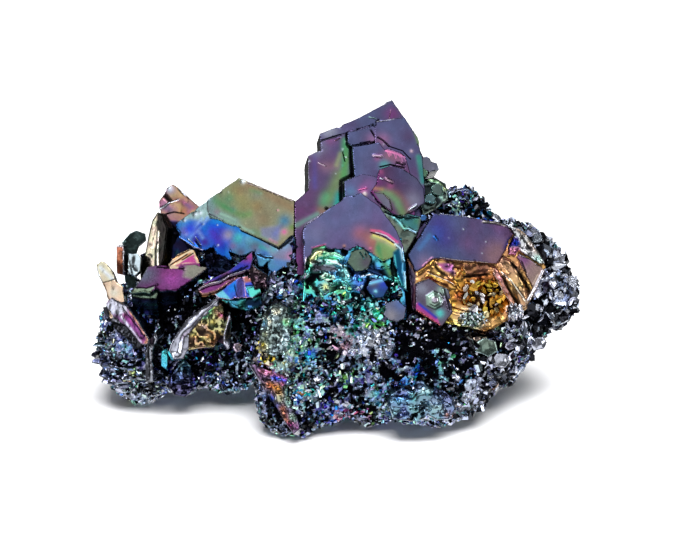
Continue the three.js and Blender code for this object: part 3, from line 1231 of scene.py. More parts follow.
# The bright melted foot that shows under the front slab's edge. Its black hole and the
# near-black patch round the dark hexagon's lower part are painted shade.
FOOT = """
# The melt.
slab 340/.9/1 4 along=-1,.8 grid=.17 bare=0 -7.2,-9.4 6.6,-9.4 6.8,-22 -8.4,-22 -7.5,-13
ribbons 31 1.8 .62 1 .28 14
crumple 33 2.4 .14
band .55 368/.75/1 lift=.3 firm=1.6 -6.4,-12.4 -5.6,-11.5 -4.6,-11.4
glint .2 362/.3/1 -6.3,-12.7 -4.8,-12.3
band .3 350/.7/1 lift=.15 firm=1.6 -4.6,-11.4 -3.2,-11.5 -2.1,-12
band .25 340/1/.6 firm=1.6 -5,-12.1 -3,-12.2
area 486/.6/.3 .5 -6.3,-12.9 -3.4,-13 -2.6,-14 -4.4,-14 -6.3,-14
crack .16 -6.3,-12.6 -4.4,-12.8
crack .26 -2.2,-12.9 -.4,-14.3
band .5 338/.6/1 lift=.45 firm=1.6 -4.3,-12.6 -2.8,-12.9 -1.7,-13.7 -1.3,-14.9
glint .12 338/.15/1 -3.6,-12.75 -2.2,-13.3
band .42 336/.7/1 lift=.35 -2.3,-14 -1.9,-14.8 -1.8,-15.8
band .28 336/.7/1 lift=.35 firm=1.6 -3.9,-15.9 -2.7,-15.6 -1.4,-16.6
band .3 345/.6/1 lift=.3 firm=1.6 -6.2,-16.4 -5.2,-17.4
area 358/.4/1 .3 lift=.15 -5.3,-14.7 -4.6,-14.1 -3.4,-14.5 -3.2,-15.2 -4.4,-15.5
band .25 348/1/.15 lift=-.2 -4.4,-14.8 -4,-14.9
dot .7 374/.8/.95 -4.7,-16.2
dot .9 sea -2.8,-16.9
crack .4 -6.6,-15.6 -5.8,-17
dot 1.2 black lift=-.7 0,-18
area //.08 .5 -1.8,-12.6 2.4,-12.6 3,-14.4 1.4,-15.2 -.6,-14.6
band .42 334/.8/1 lift=.35 firm=1.6 .3,-15 1.6,-14.6 3,-15.2
glint .1 .6,-14.85 2,-14.65
band .3 azure lift=.2 3.6,-15.6 4.4,-16.4
band .4 345/.9/.3 3.8,-13.2 4.6,-14.6
crack .2 5,-12.4 5,-17
dot .7 340/.8/1 lift=.3 1.8,-19.1
dot .8 354/1/.9 2.1,-21
crack .3 -7.7,-11 -7.7,-12.6
glint .12 -8.1,-11.9 -8.2,-15
# A dark hexagon under the front slab's edge.
slab 354/.5/.2 4.7 wall=334/.8/.03 six=1.8,8 .35,-12.6
dot 1 462/.6/.2 1.2,-13
glint film=teal .4,-11.5 .9,-12.4
glint film=teal 1.1,-11.6 1.3,-12.1
glint film=sea -1.2,-11.7 -.4,-11.2
# A blue hexagon.
slab 312/.9/.26 4.9 wall=334/.8/.03 six=1.6,0 2.6,-16.7
dot .8 308/1/.7 3.4,-16
dot .8 490/.8/.3 2,-16
band .25 328/.8/1 1.6,-16 3.4,-15.6
fleck .3 330/.7/1 2.3,-17.2
glint film=teal 1.2,-17.3 2,-17.9
# A violet hexagon, the lowest.
slab 494/.8/.5 5.6 wall=334/.8/.03 six=1.75,18 4.8,-20.2
dot .9 312/.8/.5 show=.7 5.6,-19.2
dot .8 404/.3 show=.5 4.2,-20.8
"""


@dataclass(frozen=True)
class SteppedTower:
    """The tall crystal: violet slabs, one before another, over a bright melted foot."""

    facing: Facing = Facing(at=(1.4, 6.0, 32.7), azimuth=6, lean=28)
    thickness: float = 6.0
    drawing: str = PEAK + FEATHERED + FLAKES + FRONT + FOOT
    rays: int = 10
    ray_width: float = 0.05

    def feather(self) -> list[Mark]:
        """Gives the short pink rays that hang from the feather's shaft."""
        rays = []
        for i in range(self.rays):
            u, v = 5.2 + 0.26 * i, 3.45 - 0.1 * i
            tip = (u + 0.3 - 0.1 * (i % 3), v - 0.8 + 0.2 * (i % 4))
            rays.append(Mark([(u, v), tip], self.ray_width, Film(442, 0.85, 1), firm=1.5))
        return rays

    def build(self) -> Crystal:
        """Makes the tower's piece, from the rear peak to the front."""
        slabs = read_slabs(self.drawing, rays=self.feather())
        return make_piece("stepped_tower", [Crystal(self.facing, self.thickness, slabs, seed=1)])[0]


# ---- The broad left plate -----------------------------------------------------------

# The lower layer, blue on the left and mauve on the right.
GROUND = """
slab 315/1/.75 wall=470/.7/.06
-.5,6.6 -6,2 -9,-.5 -9.2,-.9 -8.4,-2.9 -6.2,-4.2 -4.8,-4.6 -3.3,-3.9 -2.8,-4.8 -1.8,-5.3 -.8,-5.8
-.3,-5.5 -.9,-4.4 1.1,-5.1 2.6,-4.2 3.1,-5.2 3.6,-6.5 4.2,-6.5 4.9,-5.6 4.8,-6.1 5,-6.8 6.3,-7.4
6.9,-6.6 8,-6.3 8.6,-5.6 8.4,-4.6 8.3,0 8,3.5
treads 41 2
dot .9 330/.9 show=.5 -7.8,-.7
area 322/.85/.5 1.2 -.6,-2.6 4,-2.6 8.8,-4 8.8,-7.8 3,-7 -.4,-5.6
area 346/.35/.62 1 -6.2,2 -4.6,3.6 -3.6,.8 -5,-.3 -7,0 -9,-.4 -8,1
band .25 325/.6/1 -5.4,.2 -6.2,-1 -7.4,-2.2
band .2 322/.7/1 -4.6,.4 -5.2,-.9 -6.6,-2.4
dot .8 plum show=.7 -7.6,-1.8
band .4 azure -6.3,-.7 -6.8,-2.9
dot 1.5 309/1/1 -3.4,-1.6
dot 1.1 309/1/1 -6.9,-1.4
band .6 322/1 show=.8 -5,-1.2 -4.3,-3
dot .5 300/1 -6,-3
band .8 306/1/.9 show=.8 -2.4,-1.4 -2.6,-3.2
dot .8 300/1 -4.6,-3.2
band .3 azure -5.6,-1.8 -5,-2.6
dot .8 464/.6 show=.9 -1.2,-2
dot .6 plum show=.6 -.4,-3.6
dot .8 teal .3,-2.4
dot .8 azure 1.7,-2.6
dot .7 490/.9 show=.9 .8,-4.5
dot .8 slate show=.9 2.8,-3.6
dot .7 blue show=.6 4.4,-4.4
band .3 teal show=.8 3.6,-3.5 5.2,-3.9
area 482/.85/.85 1 3.9,-2.9 6,-3.2 8.6,-1.5 8.6,-5.3 7.2,-5.4 5.6,-5.2
dot .9 324/.7 show=.6 7,-2.8
dot .7 teal show=.5 5.6,-3.6
dot .7 pink show=.5 8.2,-4.6
band .3 azure 5.6,-5.8 8.5,-6
crack .08 .6,-1.3 3,-2.2 6.2,-3.6
crack -6,-3.2 -5.2,-4.1
crack .14 6.2,-3.6 7.4,-2.6 8.4,-1.5
crack 3.2,-4.6 4.4,-5 5.4,-5
fleck .35 -6.4,.8
fleck .3 -5.7,1
fleck .2 -7.9,-.2
fleck -2.6,-3.6
fleck .1 -5,-.6
fleck .08 -3,-.6
glint film=470/.5 -8.2,-2.9 -6.2,-4 -4.8,-4.4
glint .06 -6,-2.6 -5.2,-3.6
glint .06 -7,-3 -6.2,-3.6
"""

# The upper layer, green and gold.
GREEN_TERRACE = """
slab 370/.62/.39 .3 along=1.4,.8 wall=346/.5/.08
-4.9,2.9 -4.8,1.6 -4.2,.2 -3,.1 -1.9,-.35 .4,-1.2 2.7,-2.1 6.3,-3.55 7.6,-2.1 8.4,-1.5 8,3.5
-.5,6.5
treads 43 2.2
band 1.4 388/.8 show=.7 -.6,4.4 .6,2.6
area 342/.4 1.6 -6,3 -4.6,.2 -2,-.6 .6,-1.4 0,.4 -3.2,1.6 -4,4
dot .5 424/.5 show=.5 -4.8,1.4
band .5 sea show=.4 2.4,-1.4 4.6,-2.2
dot .8 356/.8 show=.7 -1.6,3.4
band .8 406/.8 show=.6 1,5.4 4.6,3.9 7.6,2.4
dot .7 380/.5 2.5,3.9
dot 1 396/.9 show=.5 2.6,2.4
dot .5 350/.4 -1,1.5
band .3 364/.8 show=.5 1.4,4.7 3,4.3
band .55 357/1 show=.55 -3.6,2.9 -1.4,1.6 .4,.9 1.6,1.1
band .25 357/1 show=.5 -2.4,2.2 -1,1.5
dot .5 440/.4 show=.6 -3.2,1.2
dot 1.1 404/.8 show=.45 3.6,.5
area 492/.7/.66 .8 3.4,-.8 6.2,-.2 6.4,-2.4 5.8,-2.9 3.6,-2
dot .9 330/.8 6.8,.4
dot .5 439/.9/.8 6.9,-1.2
band .5 306/.8 show=.5 5.6,-1.6 6.4,-.4
dot .4 366/.9 8,-.5
band .2 428/.6 4.9,-2.4 6,-2.9
band .25 350/.5/.5 -3,.4 -1.2,-.1 .4,-.7 2.4,-1.6
band .2 350/.5/.55 -2.6,1 -.4,.2
glint film=424/.4 .8,5.7 3.6,4.9 7.7,3.4
fleck .4 .2,5.9
fleck .2 -4.6,3.1
fleck .25 -5.3,1.8
fleck .1 -1.8,4.2
fleck .08 3,4.2
fleck .14 pink 5.7,1.9
glint .06 480/.5 -4.8,1.1 -2.2,.1
"""


@dataclass(frozen=True)
class BroadPlate:
    """The gold and blue plate to the left of the tower, with one terrace on it."""

    facing: Facing = Facing(at=(-14.6, 3.0, 27.3), azimuth=-10, lean=30)
    thickness: float = 2.6
    drawing: str = GROUND + GREEN_TERRACE

    def build(self) -> Crystal:
        """Makes the plate's piece."""
        slabs = read_slabs(self.drawing)
        return make_piece("broad_plate", [Crystal(self.facing, self.thickness, slabs, seed=3)])[0]


# ---- The hopper crystal -------------------------------------------------------------

# The sunken golden floor with its ribs. The near-black patch under the granules is
# painted shade between them.
RECESS = """
slab 402/.9/.86 wall=420/.4/.3 grid=.19 cloud_nm=8
-5,8.4 6.4,6 10.5,0 7,-6 .5,-9.3 -6,-7.5 -9.6,-5 -9.5,2.5
crumple 51 1.3 .15 9
area 404/1/.6 1.6 lift=-.4 -3.4,-1.2 3.6,.2 4.4,-4.4 3,-6.6 0,-6.2 -2.2,-4.2
area 412/1/.08 .7 lift=-.2 -1.2,-3 .6,-2.2 2.8,-2.4 3.6,-4.6 2.6,-6.4 .2,-6.6 -1.2,-5
area 414/.9/.55 -1.7,.9 2.2,.8 2.4,-.3 -1.4,-.6
crack .25 -1.6,-.8 .6,-.7 2.2,-.5
area 448/.9/.5 .5 -5.4,1.4 -3,1.2 -2.9,-.6 -4.4,.2
crack .2 -5.8,1.3 -5,.2 -4.1,-.6
area 470/.9/.25 -10,2.6 -8.5,0 -8.8,-1.6 -9.3,-5.6 -10,-5.6
band .42 397/.95/1 lift=.3 -8.2,.2 -7.2,.7 -6,1.7
band .4 397/.95/1 lift=.35 -6.8,-.3 -4.9,-1.3 -3,-2.2
glint film=390/.4/1 -6.6,-.1 -4.8,-1 -3.2,-1.9
band .22 397/.95/1 lift=.3 -2.6,-.5 -1.8,.6
fleck .16 390/.4/1 -2.2,0
band .22 397/.95/1 lift=.3 -2.9,.3 -1.6,-.2
fleck .42 397/.95/1 -4.2,-3.7
band .16 397/.95/1 lift=.4 firm=2 -3,-1.9 -2.5,-2.6 -.8,-3.3
dot .32 397/.95/1 lift=.6 .6,-1.6
dot .28 397/.95/1 lift=.5 -1.2,-1.7
dot .26 397/.95/1 lift=.5 2,-2.1
dot .3 397/.95/1 lift=.4 -4.5,-4.4
area 408/1/.5 .8 -4,-2.5 -1.8,-2.9 -1.6,-4.8 -3.9,-5
band .5 416/.8/.8 lift=.35 firm=2.5 3,-.2 3.5,-1.7 4,-3.2 4.9,-5.2
dot .5 404/.9/.8 lift=.3 2.4,-.1
band .85 403/.8/.8 lift=.35 firm=2.5 4.3,.9 5.5,-.4 6.1,-2.4 6.6,-5.4
glint .12 390/.4/1 3.9,-.5 5,-1.8 6.1,-3.8 6.9,-5.3
glint film=400/.5 2.7,-.6 3.2,-1.9 3.7,-3.2 4.5,-5
crack .3 4,-1.2 4.6,-2.8 5.6,-5.2
crack .34 5.6,.7 6.6,-1.2 7.6,-3.1 7.6,-4.8
crack .3 2.6,-1.7 3,-3 3.4,-4.4
band .3 397/.95/1 lift=.4 -4.2,-5.3 -3.2,-5.8 -2,-6.2
band .08 black lift=-.2 -4,-5 -2.2,-5.8
band .6 397/.95/1 lift=.5 -5.4,-7.2 -4,-7.9 -2.4,-8.3
band .5 400/1/1 lift=.5 -2,-8.3 .2,-9 1.8,-9.1
dot 1.5 352/.4/.9 lift=.4 -1.3,-7.2
area 340/.08/.85 .6 4,-5.4 6.2,-5.6 6,-7.4 4.2,-7.6
"""

# The raised layer along the top, blue on the left and purple on the right.
PURPLE_TERRACE = """
slab 476/1/.64 .9 along=-2.9,.6 wall=440/.5/.2
-5.2,8.5 -1,7.9 2.3,7.1 4,6.8 5.2,6.2 6,4.8 5,3.1 4.4,2.2 3.2,.65 1.85,.7 0,1 -2.6,1.3 -5,1.8
-5.9,1.8 -7.8,.5 -8.7,0 -9.6,2.5
treads 53
band 1.8 300/1/.6 show=.5 -4.6,6.8 -4,4.6
band .4 318/.9 show=.4 -6.2,5.2 -7.8,3.4
dot 1.3 464/.9/.85 show=.8 -7.2,1.4
band .12 444/.7/1 firm=2 -7.6,.9 -6.2,2
dot 1 300/.8/.62 show=.3 3.8,4.4
dot 1 plum show=.4 4.2,6
dot 1.2 470/1/.8 show=.5 .8,6.4
band 1.7 424/.7/.55 show=.5 3.4,2.4 2.6,1.6
dot 1.6 472/1/.72 -.6,3.6
fleck .08 1.2,2.2
glint .14 309/1/1 -5.5,4.9 -5.3,4.6
band .4 300/.9/.3 show=.8 5.4,3.9 4.7,2.8
glint .14 392/.3 1.9,6.8 3.4,6.6 5,6.1
glint .05 470/.4 -5.1,8.4 -1,7.8 1.8,7.2
glint .06 404/.4 -5,1.9 -2.6,1.4 1.8,.8
fleck .08 -3.4,4.7
fleck .1 -1.2,5.9
fleck .08 1.9,3.9
"""

# The right-hand rim, its lower edge, the small plate at the lower left and a chip. The
# white line and pale walls along the rim panel's lower edge are a painted highlight.
RIM = """
# The cream rim.
slab 388/.12/.95 .7 wall=404/.5/.4 grid=.17
4.9,6.6 6.7,5.9 7.8,5 8.7,3.6 10,1 10.2,.3 9.2,.2 8,1.4 6.6,2.4 6,1.7 5,1.9 5.2,3.2 6.1,4.8
ribbons 57 .9 .74 .9 .2 10
band .3 silver lift=.1 5.2,6.4 6.7,5.8
band .5 400/.4 8.2,3.4 9.2,1.8
crack 7.2,4.2 8.4,2.4
band .4 406/.7/.9 lift=.2 6.9,5.5 7.7,4.8
crack 5.9,5.2 6.3,4.5
area 300/1/.4 5.2,4.3 6.6,4.3 6.9,3.3 6.4,2.9 5,3
area 436/.8/.75 5,2.9 6.7,2.9 6.8,2 6,1.6 5,1.8
fleck .25 rust 5.6,2.3
dot .7 350/.4 9.2,1
# The rim's lower panel.
slab 440/.6/.5 .6 along=-2,5 wall=420/.1/.9
6.2,1.6 6.6,2 8,1.2 10,-.5 10.1,-.8 8.4,-3.6 7.5,-5 6.3,-6.2 6.8,-4.8 8,-3 6.9,-.3
dot .9 450/.9/.5 7.2,1
crack 6.9,.6 7.3,-.9
band .16 430/.03/1 lift=.05 firm=2 9.75,-.8 8.2,-3.3 7.1,-4.9
band .08 400/.5/.8 8.9,-1.3 7.6,-3.4
glint film=420/.2 6.4,1.8 8,1.1 9.9,-.5
# The small plate at the lower left.
slab 466/.8/.37 1.35 wall=442/.9/.4 grid=.16
-8.9,-1.6 -7,-1 -5.6,-2.1 -4.3,-2.8 -4.2,-3.8 -4.1,-6.2 -5.9,-8.2 -7.2,-7.2 -9.4,-5.6
dot .9 486/.6/.5 -8.2,-2.6
dot .7 352/.4/.5 -5.4,-3
rings 1.5 352/.6/.65 lift=.3 -6.6,-4.3
dot .55 446/.4/.9 -6.5,-4.3
glint .12 470/.05 -5.7,-3.5 -5.3,-4.3 -5.6,-5
dot .7 336/.9/.7 -6,-6.2
crack .14 -5,-2.8 -4.5,-5.8
area 444/1/.7 .3 -9.6,-5.2 -9,-4.4 -6.4,-6.9 -6,-8.3 -7.2,-7.4
band .2 306/1/.6 -8.8,-4.7 -6.6,-6.8
band .16 424/1/.9 -9.2,-5.6 -7.2,-7.2 -6,-8.2
glint .07 470/.1 -8.8,-1.7 -7,-1.1 -5.6,-2.2
# A melted chip under the floor's edge.
slab 392/.5/.9 -1.2 rim=352/.7/.3 -3,-9.6 -1.4,-9 1,-9.3 1.3,-10.2 -.4,-11.6 -1.4,-11.2
ribbons 59 .7 .6
"""


@dataclass(frozen=True)
class HopperCrystal:
    """The six-sided crystal on the right, grown faster at its rim than in its middle."""

    facing: Facing = Facing(at=(19.1, -2.0, 21.6), azimuth=10, lean=32)
    thickness: float = 8.0
    drawing: str = RECESS + PURPLE_TERRACE + RIM

    def granules(self) -> "GrainHeap":
        """Gives the loose granules in the middle of the floor and along its edge."""
        heap = GrainHeap(seed=61)
        inner = Region(size=0.6, nm=393, spread_nm=6, tint=1.0, bright=1.0, flat=-0.9)
        pale = Region(size=0.28, nm=352, spread_nm=12, tint=0.25, bright=0.95, flat=0.0)
        silver = Region(size=0.34, nm=400, spread_nm=10, tint=0.05, bright=0.9, flat=0.0)
        lip = Region(size=0.3, nm=352, spread_nm=8, tint=0.6, bright=0.6, flat=0.3)
        for region, at, reach, count, height in (
            (inner, (0.7, -4.1), (2.9, 2.5), 500, 0.15),
            (pale, (-1.2, -7.2), (2.1, 1.0), 400, 0.6),
            (silver, (5.0, -6.5), (1.1, 1.1), 200, 0.4),
            (lip, (-3.7, -9.3), (1.8, 0.3), 80, -0.6),
        ):
            spots = heap.random.uniform(-1, 1, (count * 2, 2))
            spots = spots[(spots**2).sum(axis=1) < 1][:count] * reach + at
            apart = np.hypot(*(spots[:, None] - spots[None]).transpose(2, 0, 1))
            crowd = np.tril(apart < 1.05 * region.size, -1)
            free: list[int] = []
            for i in range(len(spots)):
                if not crowd[i, free].any():
                    free.append(i)
            spots = spots[free]
            lifts = np.full(len(spots), height) + heap.random.uniform(-0.1, 0.25, len(spots))
            places = self.facing.to_cluster(np.column_stack((spots, lifts)))
            out = np.tile(self.facing.axes()[2] * 30, (len(places), 1))
            heap.pile(places, out, [region] * len(places), np.ones(len(places)))
        return heap

    def build(self) -> Crystal:
        """Makes the crystal's piece and its granules."""
        self.granules().make("hopper_granules", Slot.CRYSTAL)
        slabs = read_slabs(self.drawing)
        return make_piece("hopper_crystal", [Crystal(self.facing, self.thickness, slabs, seed=5)])[0]


# ---- Blades and small plates --------------------------------------------------------

# The plates and columns along the back of the thicket.
REAR_BLADES = """
# A peach plate with a black foot.
crystal -23.3,8,28.4 -6 29 1.6 11
slab 420/.75/.62 -2.9,-9 3.2,-9 3,-.3 .7,1.6 -.6,2.7 -1.3,3.1 -2.2,2.5 -2.4,1.8 -3.2,.5 -3.1,-.9
crumple 71 1.2 .06 26
dot .4 444/.8/.7 .9,1.1
band .4 446/.8/.5 -1,.9 .4,.4 1.8,-.5
dot .7 466/.3/.5 -1.6,2.2
dot .9 456/.7/.4 -1.8,-.6
dot .7 412/.9/.7 .6,-1
dot .6 406/.8/.7 2,-1.4
area 300/.9/.05 .5 -3.2,-2.4 3.4,-2.6 3.4,-9 -3.2,-9
fleck .4 -1.7,2.4
crack .4 -2.3,1.2 -1.7,.6
glint .1 -3,-.8 -1.6,.3 -.4,.7
glint -.4,2.4 .8,1.3
crack .08 -2.6,-1.6 -.8,-1.1 .6,-1.3
# A thin black blade with a cream line.
crystal -26.4,5,24.7 -40 19 1.2 12
slab 388/.5/.32 wall=470/.2/.1 -1.1,3.2 -1.8,1.9 -1.9,.2 -1.8,-6 1.8,-6 2.2,-3 1.6,1.4 -.3,3.2
area black .2 -.9,2.9 -.2,3.4 2,1.6 2.6,-3 2,-6 .8,-6 -.2,0
band .1 cream .1,.4 .6,-2 1.2,-4
ribbons 74 .8 .9 .4 .05
# A dark block.
crystal -24.6,5,23.2 20 15 3 13
slab 482/.9/.06 wall=470/.4/.03 -1.5,-6 1.7,-6 1.7,2.2 .6,3 -.4,3.1 -1.5,2.2
glint .06 346/.3/.6 -.9,1.8 0,-3.2
fleck .1 .9,1.6
glint .05 346/.3/.6 -1.3,2.2 .4,2.8
# A black glassy column.
crystal -30.4,7,22.4 5 20 2.6 14
slab 340/.4/.07 wall=470/.4/.03 rim=345/.2/.5 rim_reach=.07
-1.5,.6 -.3,1.9 .7,2.3 2,1.8 2.1,.9 1,0 .6,-1 .6,-8 -1.2,-8 -1.3,-.4
glint .05 dim -.9,.7 .4,1.9
dot .5 //.25 .9,1.4
# A thin red sliver.
crystal -32,5,21 -12 12 2 15
slab 420/.95/.55 wall=420/.1/.9 rim=420/.1/.9 rim_reach=.1 -.5,-2.2 .9,-2.4 .7,.6 .4,2 -.7,1.9
band .2 //.25 0,1.2 .2,-2
glint .5,1.4 .6,-2
# A small pale plate.
crystal -29.9,3.5,20.7 6 26 2.2 16
slab 340/.14/.95 wall=470/.4/.03 -.9,-1.2 .2,-1.8 1,-1 1.2,.9 .8,1.6 -.7,1.7 -.8,-.2
crack .18 .1,1 -.1,-.2 .4,-1
crack .1 -.6,.4 -.2,-1.4
# A dark stump.
crystal -27.9,5.6,20.6 10 18 2 17
slab 480/.9/.06 wall=470/.4/.03 -1.2,-6 1.8,-6 1.8,.2 .4,1.4 -1.2,1
fleck .25 .4,.4
glint .07 dim -.8,.8 -.6,-1.4
# A blue-black block by the broad plate.
crystal -17.9,4.2,22.6 0 20 3 18
slab 308/.8/.08 wall=470/.4/.03 -2.2,-4 2.6,-4 2.4,.8 .8,1.5 -1.4,1
ribbons 88 .8 .4
"""

# The low violet plate and the striped chip behind it.
LOW_PLATE = """
# The low violet plate.
crystal -24.4,-2,19.9 0 60 5 18
slab 454/1/.28 along=-1.2,.5 wall=312/.8/.06
-5.2,-2 -4.3,-.1 -3.2,2.9 -1.7,3.3 1.2,3.2 4,3.4 5.5,2.7 3.6,.7 1.2,-1.6 -1.1,-1.6 -1.7,-1.2
-2.5,-2.1 -3.3,-1.8
dot 1.6 484/.8/.22 -3.4,1.2
dot 1.6 450/1/.4 .6,.6
area 380/.4/.15 1 2.2,1 2.4,3.4 4.4,3.4 5.6,2.7 3.6,.5
glint film=470/.3 -5,-1.9 -4.1,0 -3.1,2.7
fleck .2 dim 2.2,2.4
crack -1.6,2.9 1.8,2.6
crack .1 -4.8,-1 -3,-1.2 -1.7,-.6
area 362/.5/.22 .15 -5.2,-2 -4.9,-1.2 -2.9,-1.3 -1.8,-.9 -2.5,-2.1
# Its front edge.
slab 360/.5/.16 -.6 wall=312/.8/.15
-5.2,-1.5 -3.4,-1 -1.2,-.7 -1.3,-1.4 -1.5,-2.5 -3.9,-2.4 -5.1,-2
# The striped chip.
crystal -21.5,1.5,22.4 12 32 3.6 19
slab 393/.6/.9 wall=402/1/.5 -2.6,-3 1.6,-3 1.4,-.9 .8,1.1 .1,1.4 -2,.6 -3.3,-.8
band .12 410/.9/.75 firm=2 -2.6,-.8 .1,.6
band .12 430/.9/.7 firm=2 -2,-1.1 .6,.2
band .1 402/.9/.8 firm=2 -2.4,-.1 -.4,.95
crack .06 -2.9,-.9 -.4,.5
crack .05 -2.2,.2 .2,1.2
area 442/1/.75 .25 -1.4,-.7 -.4,0 .5,.4 .9,-.9
area 446/1/.4 .25 -2.6,-3 1.6,-3 1.4,-.9 -1.6,-.9
band .12 404/1/1 .7,1 1.3,-.8
crack .06 -1.2,-.3 .5,.6
"""

# The pale blade and the slanting one on the far left.
SLANTING = """
# The pale blade.
crystal -33,1.5,19.4 -5 29 1.8 20
slab 388/.5/.95 wall=396/.4/.2
-2.3,1.8 -1.4,2.5 -.7,2 .1,1.1 .9,-.6 2,-1.3 2.3,-2.5 2.4,-6 .2,-6 -.6,-2 -1.3,-.8 -1.9,.3
band .3 374/.15/1 -1.6,1.4 .2,-.2
treads 72 .8 .02
crack .07 -1.6,-.9 -.4,-.6 .9,-.1
area 398/.6/.95 .3 -1.4,-.9 1,-.2 2.2,-1.2 2.6,-6 0,-6
dot .7 384/.4 .6,-2.2
glint -2.2,1.6 -1.8,.4 -1.2,-.8
# The slanting blade.
crystal -31,-3.2,14.4 -40 19 1.3 21
slab 456/1/.24 wall=450/.6/.1 rim=462/.3/.2 rim_reach=.1 grid=.16
-3.8,2.2 -3.1,2.8 .2,2.3 2.8,.8 5.7,-1.3 5.8,-2.1 4.6,-2.5 1,-.8 -2.5,.4 -3.8,1.3
area 470/.3/.28 .7 -4,1.3 -3.1,2.9 .2,2.4 .9,1.2 -2.5,.4
crumple 73 .9 .04 5
dot .5 410/.9/.4 5.4,-1.9
band .22 408/.9/.4 firm=2 1.2,1.6 3,.5 5.6,-1.4
band .25 470/.2/.3 -.4,.6 4.4,-2
band .5 448/1/.22 .4,.9 4.6,-1.6
crack .06 -.6,1.9 4.8,-1.1
# Its dark underside.
slab 480/.3/.09 -.5 -5,1 -4,1.6 4.2,-2.4 3.6,-3.3 -1,-1.8 -4.4,.2
ribbons 75 .9
"""

# The thin roof blade, the blue wedge under it and a pitted plate.
ROOFED = """
# The roof blade.
crystal -15.8,-4,21.6 0 62 .9 22
slab 304/1/.34 wall=415/.3/.6 rim=450/.6/.5 rim_reach=.08 grid=.17
-4.1,-2.6 -2.5,-.9 .3,1.1 2.2,3.3 3.3,4.8 3.5,3.3 3.2,1.2 2.3,.6 .3,-.3 -1,-1.5 -2.4,-1.9
-3.8,-2.8
dot 1.2 448/1/.3 3,3.6
dot 1.2 456/1/.3 -.4,.2
band .4 424/1/.5 -3.4,-2.3 -1.8,-1.4
crack -2.4,-1.5 .4,.3 2.6,1.7
glint film=420/.15 -3.8,-2.6 -2.4,-1.7 -1,-1.3 .3,-.1 2.3,.8 3.1,1.1
# Its lower edge.
slab 452/1/.3 -.3 wall=420/.9/.5 rim=416/.8/.5 grid=.17
-4.1,-2.7 -3,-1.9 -.8,-1.1 1.4,.2 1.2,-.4 .3,-1.1 -1.3,-2.7 -2.4,-3.3 -3.5,-3.4
# The blue wedge.
crystal -14.8,-5,19.7 10 25 6.5 23
slab 310/.95/1 wall=440/.6/.2 rim=440/.6/1 rim_reach=.08 grid=.16
-3,-.4 -2.2,.3 -.9,.9 .7,1.9 2,2.1 3.7,.2 3.8,-.7 2.6,-1.3 .9,-1.2 -.8,-1.4 -2.4,-1
area 328/.8/1 .3 -3,-.5 -2,.4 -.6,-1.4 -2.4,-1.2
area 300/.9/.7 .2 slope=-.12,0 .6,2 1.4,1.2 1.2,-1.3 .2,-1.3 0,.6
area 424/.9/.8 .9,2.1 2.2,2.2 3,1.1 1.5,.9
area 340/.9 slope=.15,-.1 1.6,.3 3.7,.4 3.9,-.8 2.2,-1.4
area 314/1/1 .5 -.9,.9 .3,1.4 .2,-.2 -.9,-.4
band .07 //.1 0,.7 .3,-1.3
band .06 black 1.6,.5 3.6,.3
band .06 440/.5/1 1.4,1.6 1.5,-1.2
glint .06 -2.9,-.5 -.9,.8
# The melted band under the wedge.
slab 330/.9/.5 -.8 wall=470/.4/.03 -1.9,-1.2 3.9,-.9 3.8,-2.4 1.8,-3.1 -.7,-2.3
ribbons 79 1 .45 .9 .15 14
# The pitted plate.
crystal -12.4,-4.5,21 10 25 4 28
slab 430/.5/.22 -.4,1.4 .2,2.2 2.2,.7 2.2,-1.6 1.4,-1.2 .2,-1.4
ribbons 83 .7 .35 .9 .2
"""

